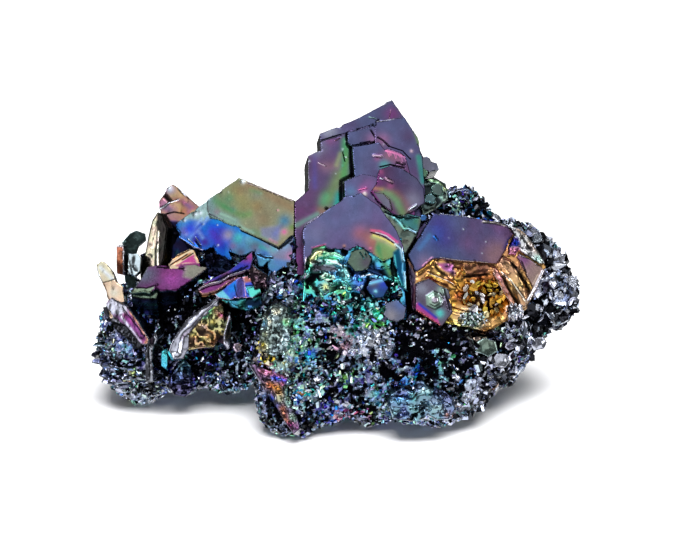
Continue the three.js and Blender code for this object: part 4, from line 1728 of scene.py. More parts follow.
# The folded silver blade, the gold patch and the small blades below.
LOW_BLADES = """
# The folded silver blade.
crystal -19.7,-6,14.4 11 27 2.4 24
slab 468/.35/.6 wall=470/.2/.4 grid=.17
3.3,4.6 1.8,3.9 .6,3 -1.9,1.3 -4,-1.3 -4.7,-2.9 -4.1,-4.2 -2.7,-4.2 -1.8,-2.8 -1.6,-.9 .4,1.2 3,3
band .55 470/.3/.8 lift=.3 -3.6,-3.2 -2.9,-.8 .6,2.2 2.8,3.8
crumple 77 1.4 .07 4
dot .8 466/.15/.85 -3.6,-3.2
band .2 456/.5/.8 -2.6,-1.2 -.4,1
fleck .3 2.2,3.6
# The gold patch under it.
slab 390/.75/1 -.4 wall=420/.6/.4 grid=.17
3.6,3.8 3.6,1.6 3.5,-.7 1.8,-2.8 0,-2.8 -1.9,-3 -2.2,-.1 .7,2.4
ribbons 85 .8 .56 .97 .3 22
dot .6 amber 2.1,-1.7
band .55 360/.9/1 lift=.2 .6,1.7 1.4,2.4 2.4,3
dot .6 378/.6/1 -.5,.9
fleck .35 gold 1,-1.3 -1,-1.1
dot .5 cream 2.6,3.5
fleck .3 cream .4,.2
dot .6 438/.9/.9 3.1,1.6
fleck .4 gold 1.8,.7
# A thin spear.
crystal -16.1,-5.8,12.9 30 10 3.4 25
slab 460/.4/.15 wall=470/.2/.4 rim=466/.35/.9 rim_reach=.2 grid=.15
1,3.6 1.2,2 .8,0 .9,-1.4 .1,-1.9 -.5,-.9 -.3,.5 .6,2.4
dot .5 466/.25/.9 lift=.3 .2,-1.1
# A cracked grey column.
crystal -26.6,-6.2,9.4 -12 5 3.6 26
slab 480/.15/.45 wall=480/.1/.3 .6,4.6 -.6,3.1 -1.1,1.6 -1.1,-3.4 .2,-3.4 .1,1.7 .8,3.2
ribbons 87 .8 .5 .85 .1
crack .1,4 -.6,2 -.4,-2
# A teal chip.
crystal -24.6,-5.6,8.3 0 15 3.8 27
slab 328/.9/.75 -.9,2.4 .1,2.7 .2,1.1 .1,-.6 -.9,.2
# A small pale knob.
crystal -14.4,-6.4,11.6 20 15 3.4 29
slab 438/.3/.9 six=.75,10 0,0
# The smooth patch, teal going over to violet.
crystal -23,-4.3,5.6 0 14 3.4 34
slab 299/.7/.3 wall=302/.7/.06 grid=.17 bare=0
-1.5,1 -.4,2.6 .6,3.4 1.7,2.4 1.7,-.2 2,-1.4 .8,-2.3 -.8,-2 -1.7,-.8
crumple 86 1.1 .3 6
dot 1.2 328/.6/.5 .9,2.2
dot .8 312/.7/.4 .2,.6
ribbons 91 .8 .7 .85 .3 8
crack -1.2,-.8 0,-.2 1.1,-1
fleck .14 -.6,-2.2
"""


@dataclass(frozen=True)
class BladeThicket:
    """The blades and thin plates that stand at all angles on the left."""

    rear: str = REAR_BLADES
    front: str = LOW_PLATE + SLANTING + ROOFED + LOW_BLADES

    def build(self) -> list[Crystal]:
        """Makes the thicket's two pieces."""
        rear = make_piece("thicket_rear", read_crystals(self.rear))
        return [*rear, *make_piece("thicket_front", read_crystals(self.front))]


# The rounded grey-green lobe with crumbs on it.
LOBE = """
crystal -9.4,-9.4,16.2 -22 22 3 31
slab 344/.3/.26 wall=344/.4/.1 grid=.17
-1.3,-4 .8,-4.6 2.6,-4.2 3.6,-2.6 3,-.6 2.9,1.2 2,2.6 .6,3.2 -1,2.4 -1.8,.6 -1.8,-2
dot 2.6 lift=.7 .4,-.4
crumple 81 1.1
area 348/.25/.5 .8 0,.6 3.2,1.4 3.8,-3 .8,-4.8 -.8,-3.6 -.2,-1
ribbons 82 .8 .6 .7 .25
dot .6 388/.4/.8 lift=.2 .6,1.8
dot .5 388/.35/.8 lift=.2 -.3,.2
dot .5 384/.5/.9 -.6,-1.6
dot .24 386/.5/1 lift=.25 0,1.9 .5,1.5 1,1.8 -.4,.5 -.2,-.1 .1,.3
dot .6 352/.9/.9 2.2,.4
dot .6 330/.5/.8 -1,-.2
crack .2 .6,-1.2 1.4,-1.1 1.9,-1.8 1.3,-2.6 .7,-2.1
dot .8 344/.2/.8 lift=.2 2.6,-2.4
dot .8 390/.9/.8 -.8,-3.2
glint .13 384/.2 1.6,-4.3 2.6,-3.8 3.5,-2.8
"""

# The streaked triangular plate at the crust's front foot.
TOE = """
crystal -9.1,-11.4,6.8 -15 26 3.4 32
slab 466/.9/.85 .6 wall=470/.4/.3 grid=.16
-4.3,3.7 -2.2,3.4 2.3,2.5 2.4,-.2 3.4,-2.2 4.4,-4.7 3.5,-5.6 -.5,-1.1
grooves 128 .7 .03 5
crumple 84 .8 .1
band .7 466/.8/.6 -4.2,3.5 -.6,-1 3.2,-5.4
band .6 408/1/.9 -.7,.9 .6,.5 .9,-.2
band .4 440/.8/1 lift=.1 -2,2.7 .2,2.4 1.8,2.2
band .35 309/1/1 -.2,2 1.6,1.6
fleck .15 teal .7,1.8
dot .3 pink 1.2,1.2
dot .7 374/.6/.7 .9,-.9
band .5 350/.5/.6 2,.6 2.4,-1.4
dot .6 352/.5/.5 3.2,-3.4
ribbons 92 .8 .8 .8 .2 8
dot .5 312/1/.7 -.1,-1
dot .5 300/.8/.6 .7,-2
band .45 420/.9/.6 1.6,-2.2 2.4,-3.8
dot .6 448/1/.5 2.9,-4.4
glint .1 -4,3.3 -2.8,1.8
"""

# The smooth steel-blue patch at the lower right.
BLUE_PATCH = """
crystal 11.2,-13.9,6.4 6 2 3 33
slab 320/.55/.52 .2 along=-.4,.4 wall=320/.5/.04 grid=.17 bare=0
-4.6,-.4 -4.2,1.3 -2.8,2.1 -1.2,1.6 -.6,3.1 .4,3 1.1,2.2 3,1.6 4.4,.4 5,-1.4 4,-2.8 2.2,-2.9
.9,-2.3 -.6,-3 -2.2,-2.7 -4,-2.3
crumple 89 1.2 .35
ribbons 90 .8 .72 .95 .35 8
band .6 326/.8/.8 lift=.15 -3.4,.6 -1.4,.8
band 1.1 330/.4/.6 1.4,-.4 2.8,-1
dot 1 316/.6/.5 -2.4,-1
band .4 330/.4/.9 lift=.2 0,1.9 .8,1.6
crack .16 -3.6,1.1 -1.4,.6 -.8,1.4
fleck .4 rust 3.6,-2
crack .14 -1.5,-2.6 -.6,-1.4 .2,-.9
fleck .3 amber -1.6,-2.7
"""

# Six-sided plates, the first five on the right and at the front and the rest round the
# back. A row has the place, azimuth, lean, radius, thickness and film.
SIX_SIDED = """
28.8,0,9.8 20 10 1.5 3 470/.2/.9
30.6,-1.2,19.4 40 25 1.1 2 470/.1/.9
20.4,-9.2,12.6 12 25 1.9 2.4 352/.4/.34
22.6,-8.4,10.4 10 26 1.5 2.4 470/.15/.7
24,-6.9,12 30 20 .9 2 474/.7/.7
-6,19.2,17.5 165 30 6.5 3.4 470/1/.8
7.5,20.4,16.5 188 22 5 3.4 404/.9/.8
-20,15.5,16.5 150 35 4.4 3 318/1/.8
19.5,16.4,15.5 200 28 4.2 3 446/1/.8
"""


@dataclass(frozen=True)
class CrustPlates:
    """Small plates that stand out of the crust at the front, right and back.

    The first few six-sided ones are squashed to this share of their height.
    """

    drawing: str = LOBE + TOE + BLUE_PATCH
    squashed: int = 5
    squash: float = 0.75

    def build(self) -> list[Crystal]:
        """Makes the plates' piece."""
        crystals = read_crystals(self.drawing)
        for number, row in enumerate(read_rows(SIX_SIDED)):
            at, azimuth, lean, radius, thickness, film = row
            squash = self.squash if number < self.squashed else 1
            outline = hexagon((0, 0), radius, 17 * number, squash)
            hillock = HexRings([(0.2 * radius, -0.1 * radius)], 0.45 * radius, Film(), 0.2)
            details = [Treads(90 + number, 2.2, 0.03, 3), hillock]
            # The rim is a paler film at full sheen along the edge: a painted highlight.
            rim = Film(film.nm - 10, film.tint / 2, 1)
            slab = Slab(outline, film, along=(1.5, 2.5), details=details, rim=rim, cloud_nm=6)
            crystals.append(Crystal(Facing(at, azimuth, lean), thickness, [slab], 40 + number))
        return make_piece("crust_plates", crystals)


@dataclass(frozen=True)
class Layers:
    """The thin level layers that the crust's left end grew in."""

    middle: Point = (-29.3, 2.9)
    middle_height: float = 9.0
    radii: Place = (6.3, 7.5, 9.6)
    lowest: float = 4.8
    highest: float = 10.8
    spacing: float = 0.75
    thickness: float = 0.3
    corners: int = 30
    waviness: float = 0.1
    seed: int = 301

    def build(self) -> None:
        """Makes the layers' piece."""
        rng = np.random.default_rng(self.seed)
        turns = np.arange(self.corners) * 2 * math.pi / self.corners
        ring = np.column_stack((self.radii[0] * np.cos(turns), self.radii[1] * np.sin(turns)))
        layers = []
        for number, height in enumerate(np.arange(self.lowest, self.highest, self.spacing)):
            girth = math.sqrt(1 - ((height - self.middle_height) / self.radii[2]) ** 2)
            wave = 0.97 + self.waviness * rng.normal(size=(self.corners, 1)).clip(-1.6, 0.6)
            outline = [tuple(at) for at in (ring * girth * wave).tolist()]
            film = Film(300 + 9 * (number % 4), rng.uniform(0.2, 0.8), rng.uniform(0.1, 0.35))
            details = [Ribbons(320 + number, 1.1, 0.5, 0.95, 0.3)]
            wall, rim = Film(310 + 10 * (number % 3), 0.4, 0.2), Film(300, 0.25, 0.6)
            slab = Slab(outline, film, 0, (0, 0), details, wall, rim, rim_reach=0.06, grid=0.4)
            height += rng.uniform(-0.3, 0.3)
            facing = Facing((*self.middle, float(height)), rng.uniform(-60, 60), rng.uniform(80, 90))
            layers.append(Crystal(facing, self.thickness, [slab], 60 + number))
        make_piece("crust_layers", layers)


# ---- The crust ----------------------------------------------------------------------


@dataclass(frozen=True)
class Region:
    """What one part of the crust is like.

    Size is a grain's radius and reach how far the region goes, both in millimetres.
    Bright is the share of a grain's facets that are clean, mass the share of the
    sintered mass that is, and cover the share of grains that grew. Flat runs from
    blocky grains to flakes that lie level.
    """

    at: Place = (0.0, 0.0, 0.0)
    reach: float = 5.0
    size: float = 0.42
    nm: float = 486.0
    tint: float = 0.3
    bright: float = 0.35
    mass: float = 0.4
    spread_nm: float = 12.0
    cover: float = 0.6
    flat: float = 0.0


# The body's lumps are ellipsoids: a row has a centre and three radii, as in the solid.
LUMPS = """
-29.2,3,9 6.3,7.5,9.6
-19,4.5,12 9,9,9.6
-23,3,6.5 5.5,6.5,5.5
-16,3,7.2 6,6.5,6.2
-3,5,14 13,11,14
5,8,24 10,8,10
-3.5,-5.5,9.5 9.5,9,10
-6.5,-9.3,4.6 5.6,5,5.5
4.5,-5,9 7,8.4,9.4
12,-5.3,8.2 11,8.4,8.6
20,1.5,10.5 8.6,8.2,8.2
25.2,7,16.2 8.8,8.5,9.2
30.2,3,16 4.4,5,5
17.2,9,23.2 6.2,6,7.8
21,8.5,21 5,6,6.4
24.5,8,19.6 6.8,7,6.6
-9,12,10.4 12,8.4,11
8,12.5,11.4 12,8.4,12
-21,9,10.6 8.5,7.5,9.6
20,9.5,11 8.5,8,9
"""

# A row has a region's values in the order of its fields, and may leave out the last ones.
# The front: white, green and blue grains among hollows whose dull grains are painted shade.
# The hollow under the hopper crystal, with dull grains and mass: painted shade.
# The left: level flakes, a cavity whose dull grains are painted shade, and fine lilac and teal
# grains.
# The next two rows are hollows under the thicket, whose dull grains are painted shade.
REGIONS = """
# The rugged silver right side.
30,2,19 6 .8 318 .05 .6 .2 12 .36
25,5,24 5 .6 314 .1 .54 .32 12 .45
30,-1.5,14 4 .75 312 .15 .55 .16 12 .36
22,-8,8 4.5 .6 300 .12 .42 .26
19,-11,5 3.5 .46 316 .12 .85 .8
21.5,6,27 3.5 .36 314 .7 .35 .25
# The black hollow under the hopper crystal.
12,-10,14.5 4.5 .28 308 .4 .18 .08 12 .4
17,-11.5,10.5 3.6 .28 308 .4 .18 .08 12 .35
# The steel-blue patch at the lower right, going over to grey-green.
10.5,-13.6,6.6 4.2 .34 320 .6 .5 .6 8 .3
15,-13,5.6 2.6 .34 336 .6 .5 .7 8 .35
16,-11.8,3.8 .9 .36 416 .8 .8 .8
22.5,-7.6,7.1 .9 .36 412 .7 .8 .8
9.3,-13,11 2 .36 314 .7 .4 .35
13.5,-12.8,11 1.6 .36 330 .6 .5
# Bright teal, green and blue round the tower's foot.
0,-8,19.5 4 .36 336 .7 .85 .7 10
4,-7.8,17.8 1.3 .36 338 .8 .95 .9 4
4.9,-9.5,16.9 .9 .36 356 .95 .9 .9 4
-2.5,-10,18.1 2.2 .33 314 .7 .8 .6 10
-4.3,-13.9,13 1.6 .31 324 .75 .85 .7 14
-5.5,-12,15.5 2.8 .31 346 .6 .65 .55
-6.5,-12.5,12 2.4 .33 350 .4 .75 .65 16
# The front: white, green and blue grains among black hollows.
4.1,-11.9,14.4 1.9 .46 320 .03 1 1 12 1
0,-12.2,15.1 1.6 .31 428 .35 .55 .5
-1.8,-13.4,13.6 1.8 .28 320 .5 .12 .05 12 .4
1.7,-12.9,11.2 1.2 .28 320 .5 .12 .05 12 .4
5,-13,10 3 .33 314 .45 .7 .5 26
1.2,-13.3,9.2 .8 .33 354 .95 .95 .9 3
.6,-13.5,7.9 .7 .33 310 .95 .85 .8 3
-3.3,-14.1,6.5 .9 .38 330 .2 .9 .9 12 1
-5,-13.9,6.3 .9 .36 324 .8 .8 .7
-5.9,-13.9,7.1 .5 .36 408 .95 .9 .9
.6,-12,3 1 .33 440 .95 .7 .5
-2.2,-13,3.4 2.2 .33 310 .75 .55 .45
3.2,-12,3 1 .33 446 .85 .55 .5
6,-13,5 2 .33 330 .6 .65 .6
# Yellow and pink grains between the lobe and the toe plate.
-10.3,-11.3,12.3 1.7 .41 386 .85 .95 .95 3
-8.8,-12.2,10.2 1.6 .33 352 .45 .8 .7 10
-10.3,-12,10.3 .8 .33 440 .9 .9 .8 4
-6,-12.8,3 2.4 .33 312 .3 .6 .5
-20.5,-4,14 2 .3 308 .3 .05 .02 12 .2
-17.5,-5.5,13.5 2 .3 308 .3 .05 .02 12 .2
-22.7,-4.5,5.6 2.4 .34 303 .7 .45 .6 8 .3
# The left: level flakes, a black cavity and fine lilac and teal grains.
-31,-2,6 5 .38 310 .5 .6 .6 12 .25 .9
-28.5,-4,2.5 2.4 .38 340 .3 .45 .4 40
-29.5,-3.7,5 1.2 .33 374 .6 .6 .4 20
-27.1,-4.1,9.6 1.6 .44 312 .3 .6 .6
-25.2,-2,12.9 2.4 .28 308 .3 .08 .03 12 .3
-25.3,-3,11.6 .6 .46 388 .3 .95 .9
-21.4,-4,10 1.6 .31 328 .8 .5
-19.5,-4,7.5 2 .31 300 .8 .4 .4 8
-15.5,-2.5,6 4 .33 316 .45 .5 .4 24
-16,-3,3 3.4 .33 322 .4 .5 .4 20
-28,-3,3 3.4 .36 318 .2 .52 .45 20
-14.5,-6,12.5 3.4 .28 308 .3 .08 .03 12 .3
-17,-4,15 3 .28 308 .3 .08 .03 12 .3
-22,-3,15 3 .28 308 .3 .06 .02 12 .2
"""


@dataclass
class GrainHeap:
    """Small six-sided grains, each with its own size, turn and film.

    A pair of numbers is the least and the most: heights and widths as shares of a
    grain's radius, and radii and tints as shares of what the region says.
    """

    seed: int
    sides: int = 6
    taper: float = 0.72
    radii: Point = (0.5, 1.6)
    flake_share: float = 0.45
    flake_height: Point = (0.14, 0.3)
    block_height: Point = (0.4, 1.0)
    width: Point = (0.35, 0.9)
    raggedness: float = 0.16
    clean: Point = (0.7, 1.0)
    dull: Point = (0.0, 0.06)
    tints: Point = (0.1, 1.7)
    skin: Skin = field(default_factory=lambda: Skin(per_face=True))

    def __post_init__(self) -> None:
        """Starts the heap's own random numbers."""
        self.random = np.random.default_rng(self.seed)

    def shape(self) -> tuple[np.ndarray, np.ndarray, np.ndarray]:
        """Gives one grain of unit radius.

        Returns:
            Its corners, its triangles, and the facet that each triangle is part of.
        """
        turn = np.arange(self.sides) * 2 * math.pi / self.sides
        ring = np.column_stack((np.cos(turn), np.sin(turn)))
        top = np.column_stack((ring * self.taper, np.full(self.sides, 1.0)))
        bottom = np.column_stack((ring, np.full(self.sides, -1.0)))
        triangles, facets = [], []
        for i in range(1, self.sides - 1):
            triangles += [(0, i, i + 1), (self.sides, self.sides + i + 1, self.sides + i)]
            facets += [0, 1]
        for i in range(self.sides):
            j = (i + 1) % self.sides
            triangles += [(i, self.sides + i, self.sides + j), (i, self.sides + j, j)]
            facets += [2 + i, 2 + i]
        return np.concatenate((top, bottom)), np.array(triangles), np.array(facets)

    def pile(
        self, places: np.ndarray, out: np.ndarray, regions: Sequence[Region], patchy: np.ndarray
    ) -> None:
        """Adds grains.

        Args:
            places: (N, 3) their middles, in the layout's millimetres.
            out: (N, 3) the directions out of the crust there.
            regions: what each grain is like.
            patchy: (N,) what to multiply each grain's share of clean facets by.
        """
        count = len(places)
        rng = self.random
        corners, triangles, facets = self.shape()
        look = np.array([(r.size, r.nm, r.spread_nm, r.tint, r.bright, r.flat) for r in regions])
        size, nm, spread, tint, bright, flat = look.T
        radius = size * rng.lognormal(0.0, 0.3, count).clip(*self.radii)
        flake = rng.random(count) < self.flake_share + 0.4 * flat
        thin = rng.uniform(*self.flake_height, count)
        thick = rng.uniform(*self.block_height, count)
        height = radius * np.where(flake, thin, thick)
        axis = rng.normal(size=(count, 3)) + 0.35 * out + flat[:, None] * np.array((0, 0, 2.5))
        axis /= np.linalg.norm(axis, axis=1)[:, None]
        side = np.cross(axis, rng.normal(size=(count, 3)))
        side /= np.linalg.norm(side, axis=1)[:, None]
        third = np.cross(axis, side)
        scale = np.column_stack((radius, radius * rng.uniform(*self.width, count), height))
        ragged = rng.normal(size=(count, len(corners), 3)).clip(-2, 2)
        local = corners[None] * (1 + self.raggedness * ragged) * scale[:, None]
        turned = local[..., :1] * side[:, None] + local[..., 1:2] * third[:, None]
        turned = turned + local[..., 2:] * axis[:, None] + places[:, None]
        tris = triangles[None] + (np.arange(count) * len(corners))[:, None, None]
        grid = (count, self.sides + 2)
        base_nm = nm + spread * rng.normal(size=count)
        facet_nm = base_nm[:, None] + 0.4 * spread[:, None] * rng.normal(size=grid)
        chance = np.tile((bright * patchy)[:, None], grid[1])
        # Painted highlight: a flake's flat faces are less often bright and its narrow sides more
        # often, so that flakes show bright rims.
        chance[:, :2] *= np.where(flake, 0.6, 1.0)[:, None]
        chance[:, 2:] *= np.where(flake, 1.5, 1.0)[:, None]
        clean, dull = rng.uniform(*self.clean, grid), rng.uniform(*self.dull, grid)
        facet_sheen = np.where(rng.random(grid) < chance, clean, dull)
        grain_tint = tint * rng.uniform(*self.tints, count)
        facet_tint = grain_tint[:, None] + 0.1 * rng.normal(size=grid)
        colour = film_colour(facet_nm.ravel(), facet_tint.ravel()).reshape(*grid, 3)
        coats = np.concatenate((colour, facet_sheen[..., None]), axis=2)[:, facets]
        self.skin.add(turned.reshape(-1, 3), tris.reshape(-1, 3), coats.reshape(-1, 4))

    def make(self, name: str, slot: Slot) -> bpy.types.Object:
        """Makes the heap's piece."""
        return self.skin.make(name, CRUSHED_GRAIN, slot, 30)


@dataclass(frozen=True)
class Crust:
    """The granular mass: a lumpy body, and the grains that cover it."""

    lumps: Sequence[tuple[Place, Place]] = tuple(tuple(row) for row in read_rows(LUMPS))
    inset: float = 0.55
    voxel: float = 0.33
    swell_depth: float = 0.6
    ribbon_cell: float = 1.1
    ribbon_depth: float = 0.5
    # The left part grew in level layers: its ribbons are this much flatter.
    layering: float = 1.1
    clump_cell: float = 2.4
    colour_cell: float = 0.8
    # The body stays this far behind a face, and grains keep clear in front of it.
    gap: float = 0.5
    body_clearance: float = 3.0
    grain_clearance: float = 4.0
    lowest_grain: float = 0.25
    grains_per_mm2: float = 4.4
    heap_size: int = 9500
    # Grains on the tower's foot: how many are tried, the corners of where, and how high.
    foot_grains: int = 900
    foot_low: Point = (-8.0, -22.0)
    foot_high: Point = (6.4, -13.5)
    foot_step: float = 4.2
    regions: Sequence[Region] = tuple(Region(*row) for row in read_rows(REGIONS))
    plain: Region = Region(size=0.38, nm=316, tint=0.5, bright=0.58, mass=0.45, spread_nm=26)
    plain_weight: float = 0.06

    def body(self, crystals: Sequence[Crystal]) -> tuple[np.ndarray, np.ndarray, np.ndarray]:
        """Makes the lumpy body as one closed mesh.

        Args:
            crystals: what the body keeps behind.

        Returns:
            Its corners in the layout's millimetres, its triangles, and how high on a
            ribbon each corner is.
        """
        mesh = bpy.data.meshes.new("lumps")
        corners, faces, count = [], [], 0
        bpy.ops.mesh.primitive_ico_sphere_add(subdivisions=5, radius=1.0)
        ball = bpy.context.active_object
        unit = np.array([v.co[:] for v in ball.data.vertices])
        unit_faces = np.array([p.vertices[:] for p in ball.data.polygons])
        bpy.data.objects.remove(ball)
        for at, radii in self.lumps:
            corners.append(unit * (np.array(radii) - self.inset) + np.array(at))
            faces.append(unit_faces + count)
            count += len(unit)
        mesh.from_pydata(np.concatenate(corners).tolist(), [], np.concatenate(faces).tolist())
        lumps = bpy.data.objects.new("lumps", mesh)
        bpy.context.scene.collection.objects.link(lumps)
        remesh = lumps.modifiers.new("one_skin", "REMESH")
        remesh.mode = "VOXEL"
        remesh.voxel_size = self.voxel
        corner_cut = lumps.modifiers.new("triangles", "TRIANGULATE")
        corner_cut.quad_method = "FIXED"
        shown = lumps.evaluated_get(bpy.context.evaluated_depsgraph_get()).to_mesh()
        points = np.array([v.co[:] for v in shown.vertices])
        normals = np.array([n.vector[:] for n in shown.vertex_normals])
        triangles = np.array([p.vertices[:] for p in shown.polygons])
        bpy.data.objects.remove(lumps)
        layered = points.copy()
        layered[:, 2] *= 1 + self.layering * ease(-points[:, 0], 14.0, 22.0)
        ribbon = worms(layered, self.ribbon_cell, 9)
        swell = drift(points, 2.6, 5) + 0.6 * drift(points, 1.1, 6) - 0.8
        rise = self.swell_depth * swell + self.ribbon_depth * (ribbon - 0.6)
        points = points + normals * rise[:, None]
        for crystal in crystals:
            points = crystal.clear(points, self.gap, self.body_clearance)
        points[:, 2] = np.maximum(points[:, 2], FLOOR_CLEARANCE_MM)
        return points, triangles, ribbon

    def pick(self, places: np.ndarray, draws: np.ndarray) -> list[Region]:
        """Picks each point's region, nearer ones more often.

        Args:
            places: (N, 3) points in the layout's millimetres.
            draws: (N,) random numbers from 0 to 1.

        Returns:
            A region for each point.
        """
        options = [*self.regions, self.plain]
        away = [((places - np.array(r.at)) ** 2).sum(axis=1) / r.reach**2 for r in self.regions]
        weights = [np.exp(-a) / r.reach for a, r in zip(away, self.regions, strict=True)]
        weights.append(np.full(len(places), self.plain_weight))
        shares = np.cumsum(np.stack(weights, axis=1), axis=1)
        return [options[i] for i in (shares < (draws * shares[:, -1])[:, None]).sum(axis=1)]

    def mass(self, points: np.ndarray, triangles: np.ndarray, ribbon: np.ndarray) -> np.ndarray:
        """Gives the body's coat: winding bright ribbons, with painted shade in the hollows.

        Args:
            points: (N, 3) the body's corners.
            triangles: (M, 3) indices into the points.
            ribbon: (N,) how high on a ribbon each corner is, from 0 to 1.

        Returns:
            (M, 4) colours and sheens.
        """
        middles = points[triangles].mean(axis=1)
        high = ribbon[triangles].mean(axis=1)
        cells = np.floor(middles / self.colour_cell + 0.3 * drift(middles, 0.4, 15)[:, None])
        draws = lattice_value(cells.astype(np.int64), 17)
        regions = self.pick(middles, draws)
        look = np.array([(r.nm, r.spread_nm, r.tint, r.mass) for r in regions])
        nm, spread, tint, mass = look.T
        clump = 0.25 + 1.5 * drift(middles, self.clump_cell, 19)
        share = np.clip(mass * clump, 0, 1)
        # Painted shade: the body is dark low on its ribbons, in the hollows between them.
        bright = ease(high, 0.97 - share, 1.03 - share)
        grain = 0.45 + 0.55 * lattice_value(np.floor(middles / 0.45).astype(np.int64), 23)
        film = nm + 2 * spread * (drift(middles, 1.3, 21) + drift(middles, 0.5, 22) - 1)
        tint = tint * (0.3 + 1.4 * drift(middles, 1.8, 24))
        return np.column_stack((film_colour(film, tint), bright * grain))

    def build(self, crystals: Sequence[Crystal], foot: Facing) -> None:
        """Makes the body's piece and the grains' pieces.

        Args:
            crystals: what the grains keep clear of.
            foot: the tower's face, whose foot the grains run up.
        """
        points, triangles, ribbon = self.body(crystals)
        skin = Skin(per_face=True)
        skin.add(points, triangles, self.mass(points, triangles, ribbon))
        skin.make("crust_body", SINTERED_MASS, Slot.CRUST, 60)
        rng = np.random.default_rng(7)
        a, b, c = (points[triangles[:, i]] for i in range(3))
        cross = np.cross(b - a, c - a)
        area = np.linalg.norm(cross, axis=1) / 2
        count = int(area.sum() * self.grains_per_mm2)
        chosen = rng.choice(len(triangles), count, p=area / area.sum())
        s, t = rng.random((2, count))
        s, t = np.where(s + t > 1, 1 - s, s), np.where(s + t > 1, 1 - t, t)
        places = a[chosen] + (b - a)[chosen] * s[:, None] + (c - a)[chosen] * t[:, None]
        out = cross[chosen] / np.maximum(2 * area[chosen], 1e-9)[:, None]
        rise = 0.05 + 0.5 * (drift(places, 1.3, 25) - 0.5)
        extra, extra_out = self.up_the_foot(foot, rng)
        places = np.concatenate((places + rise[:, None] * out, extra))
        out = np.concatenate((out, extra_out))
        regions = self.pick(places, rng.random(len(places)))
        keep = rng.random(len(places)) < np.array([r.cover for r in regions])
        keep &= places[:, 2] > self.lowest_grain
        for crystal in crystals:
            keep &= ~crystal.hides(places, self.grain_clearance)
        order = np.flatnonzero(keep)
        order = order[np.argsort(places[order, 0], kind="stable")]
        parts = math.ceil(len(order) / self.heap_size)
        for number, part in enumerate(np.array_split(order, parts)):
            heap = GrainHeap(seed=200 + number)
            patchy = 0.2 + 1.6 * drift(places[part], self.clump_cell, 19)
            heap.pile(places[part], out[part], [regions[i] for i in part], patchy)
            heap.make(f"crust_grains_{number + 1}", Slot.CRUST)

    def up_the_foot(self, foot: Facing, rng: np.random.Generator) -> tuple[np.ndarray, np.ndarray]:
        """Gives grains that thin out up the tower's melted foot.

        Args:
            foot: the tower's face.
            rng: random numbers.

        Returns:
            Their places, and the directions out of the face there.
        """
        spots = rng.uniform(self.foot_low, self.foot_high, (self.foot_grains, 2))
        chance = ease(-spots[:, 1], 15.5, 20.0) * 0.9 + 0.03
        spots = spots[rng.random(len(spots)) < chance]
        lift = self.foot_step + rng.uniform(0.0, 0.3, len(spots))
        places = foot.to_cluster(np.column_stack((spots, lift)))
        return places, np.tile(foot.axes()[2], (len(places), 1))


# ---- The stage ----------------------------------------------------------------------


@dataclass(frozen=True)
class SoftBox:
    """One soft light: where it is, how large, how bright, and if it is for the paper only."""

    name: str
    at: Place
    size: Point
    glow: float
    for_paper: bool = False


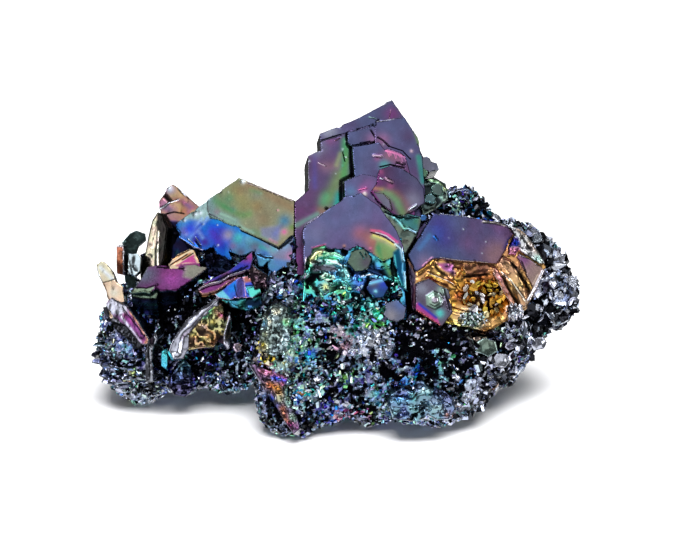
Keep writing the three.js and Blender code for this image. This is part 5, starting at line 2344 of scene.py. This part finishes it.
@dataclass(frozen=True)
class Studio:
    """The pale floor, the soft lights and the camera, in millimetres."""

    aim: Place = (0.4, -3.7, 21.0)
    distance: float = 270.0
    elevation_deg: float = 18.0
    lens: float = 100.0
    floor_half: float = 3000.0
    boxes: Sequence[SoftBox] = (
        SoftBox("front_box", (0, -560, 520), (780, 420), 1.15),
        SoftBox("high_box", (0, -290, 680), (420, 170), 5.5),
        SoftBox("left_strip", (-620, -120, 260), (160, 420), 7.0),
        SoftBox("right_strip", (600, -260, 300), (160, 420), 6.0),
        SoftBox("top_box", (60, 120, 760), (420, 260), 3.0),
        SoftBox("low_front_strip", (-200, -640, 40), (420, 110), 6.0),
        SoftBox("bounce_card", (0, -460, -300), (1300, 560), 1.25),
        SoftBox("rear_card", (0, 330, -420), (1300, 400), 1.5),
        SoftBox("back_box", (-100, 640, 320), (600, 260), 4.0),
        SoftBox("paper_box", (80, -230, 640), (600, 420), 15.0, for_paper=True),
    )
    room_glow: float = 0.12
    paper_glow: float = 0.25

    def lights(self) -> None:
        """Hangs the soft boxes."""
        aim = Vector(self.aim) * MM
        for box in self.boxes:
            light = bpy.data.lights.new(box.name, "AREA")
            light.shape = "RECTANGLE"
            light.size, light.size_y = (s * MM for s in box.size)
            light.energy = box.glow * math.pi * light.size * light.size_y
            lamp = bpy.data.objects.new(box.name, light)
            lamp.location = Vector(box.at) * MM
            lamp.rotation_euler = (lamp.location - aim).to_track_quat("Z", "Y").to_euler()
            lamp.visible_camera = False
            lamp.visible_diffuse = box.for_paper
            lamp.visible_glossy = not box.for_paper
            bpy.context.scene.collection.objects.link(lamp)

    def room(self) -> None:
        """Makes the room white to the eye and to the floor, and dim in reflections."""
        world = bpy.data.worlds.new("white_room")
        bpy.context.scene.world = world
        world.use_nodes = True
        tree = world.node_tree
        seen = {"Value": add(tree, "LightPath").outputs["Is Glossy Ray"]}
        glow = add(tree, "MapRange", {"To Min": self.paper_glow, "To Max": self.room_glow}, seen)
        background = tree.nodes["Background"]
        background.inputs["Color"].default_value = linear("#ffffff")
        tree.links.new(glow.outputs["Result"], background.inputs["Strength"])

    def floor(self) -> None:
        """Lays the paper floor, which the crystals do not mirror."""
        half = self.floor_half * MM
        mesh = bpy.data.meshes.new("paper_floor")
        corners = [(-half, -half, 0), (half, -half, 0), (half, half, 0), (-half, half, 0)]
        mesh.from_pydata(corners, [], [(0, 1, 2, 3)])
        # Matt white paper: an even pale ground that takes a soft shadow.
        material = bpy.data.materials.new("matt_white_paper")
        material.use_nodes = True
        shader = material.node_tree.nodes["Principled BSDF"]
        shader.inputs["Base Color"].default_value = linear("#fbfbfd")
        shader.inputs["Roughness"].default_value = 0.9
        shader.inputs["Specular IOR Level"].default_value = 0.1
        mesh.materials.append(material)
        floor = bpy.data.objects.new("paper_floor", mesh)
        floor.visible_glossy = False
        bpy.context.scene.collection.objects.link(floor)

    def camera(self) -> None:
        """Sets up the camera, a long lens looking slightly down."""
        lens = bpy.data.cameras.new("camera")
        lens.lens = self.lens
        lens.clip_start = 0.01
        camera = bpy.data.objects.new("camera", lens)
        tip = math.radians(self.elevation_deg)
        back = Vector((0, -math.cos(tip), math.sin(tip))) * self.distance
        camera.location = (Vector(self.aim) + back) * MM
        camera.rotation_euler = (math.pi / 2 - tip, 0, 0)
        bpy.context.scene.collection.objects.link(camera)
        bpy.context.scene.camera = camera

    def build(self) -> None:
        """Sets the whole stage."""
        self.lights()
        self.room()
        self.floor()
        self.camera()
        bpy.context.scene.view_settings.view_transform = "Standard"


def main() -> None:
    """Builds the cluster and its stage, piece by piece."""
    logging.basicConfig(level=logging.INFO, format="%(message)s")
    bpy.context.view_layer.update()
    Studio().build()
    tower = SteppedTower()
    crystals = [tower.build(), BroadPlate().build(), HopperCrystal().build()]
    crystals += BladeThicket().build()
    crystals += CrustPlates().build()
    Layers().build()
    Crust().build(crystals, tower.facing)


if __name__ == "__main__":
    main()
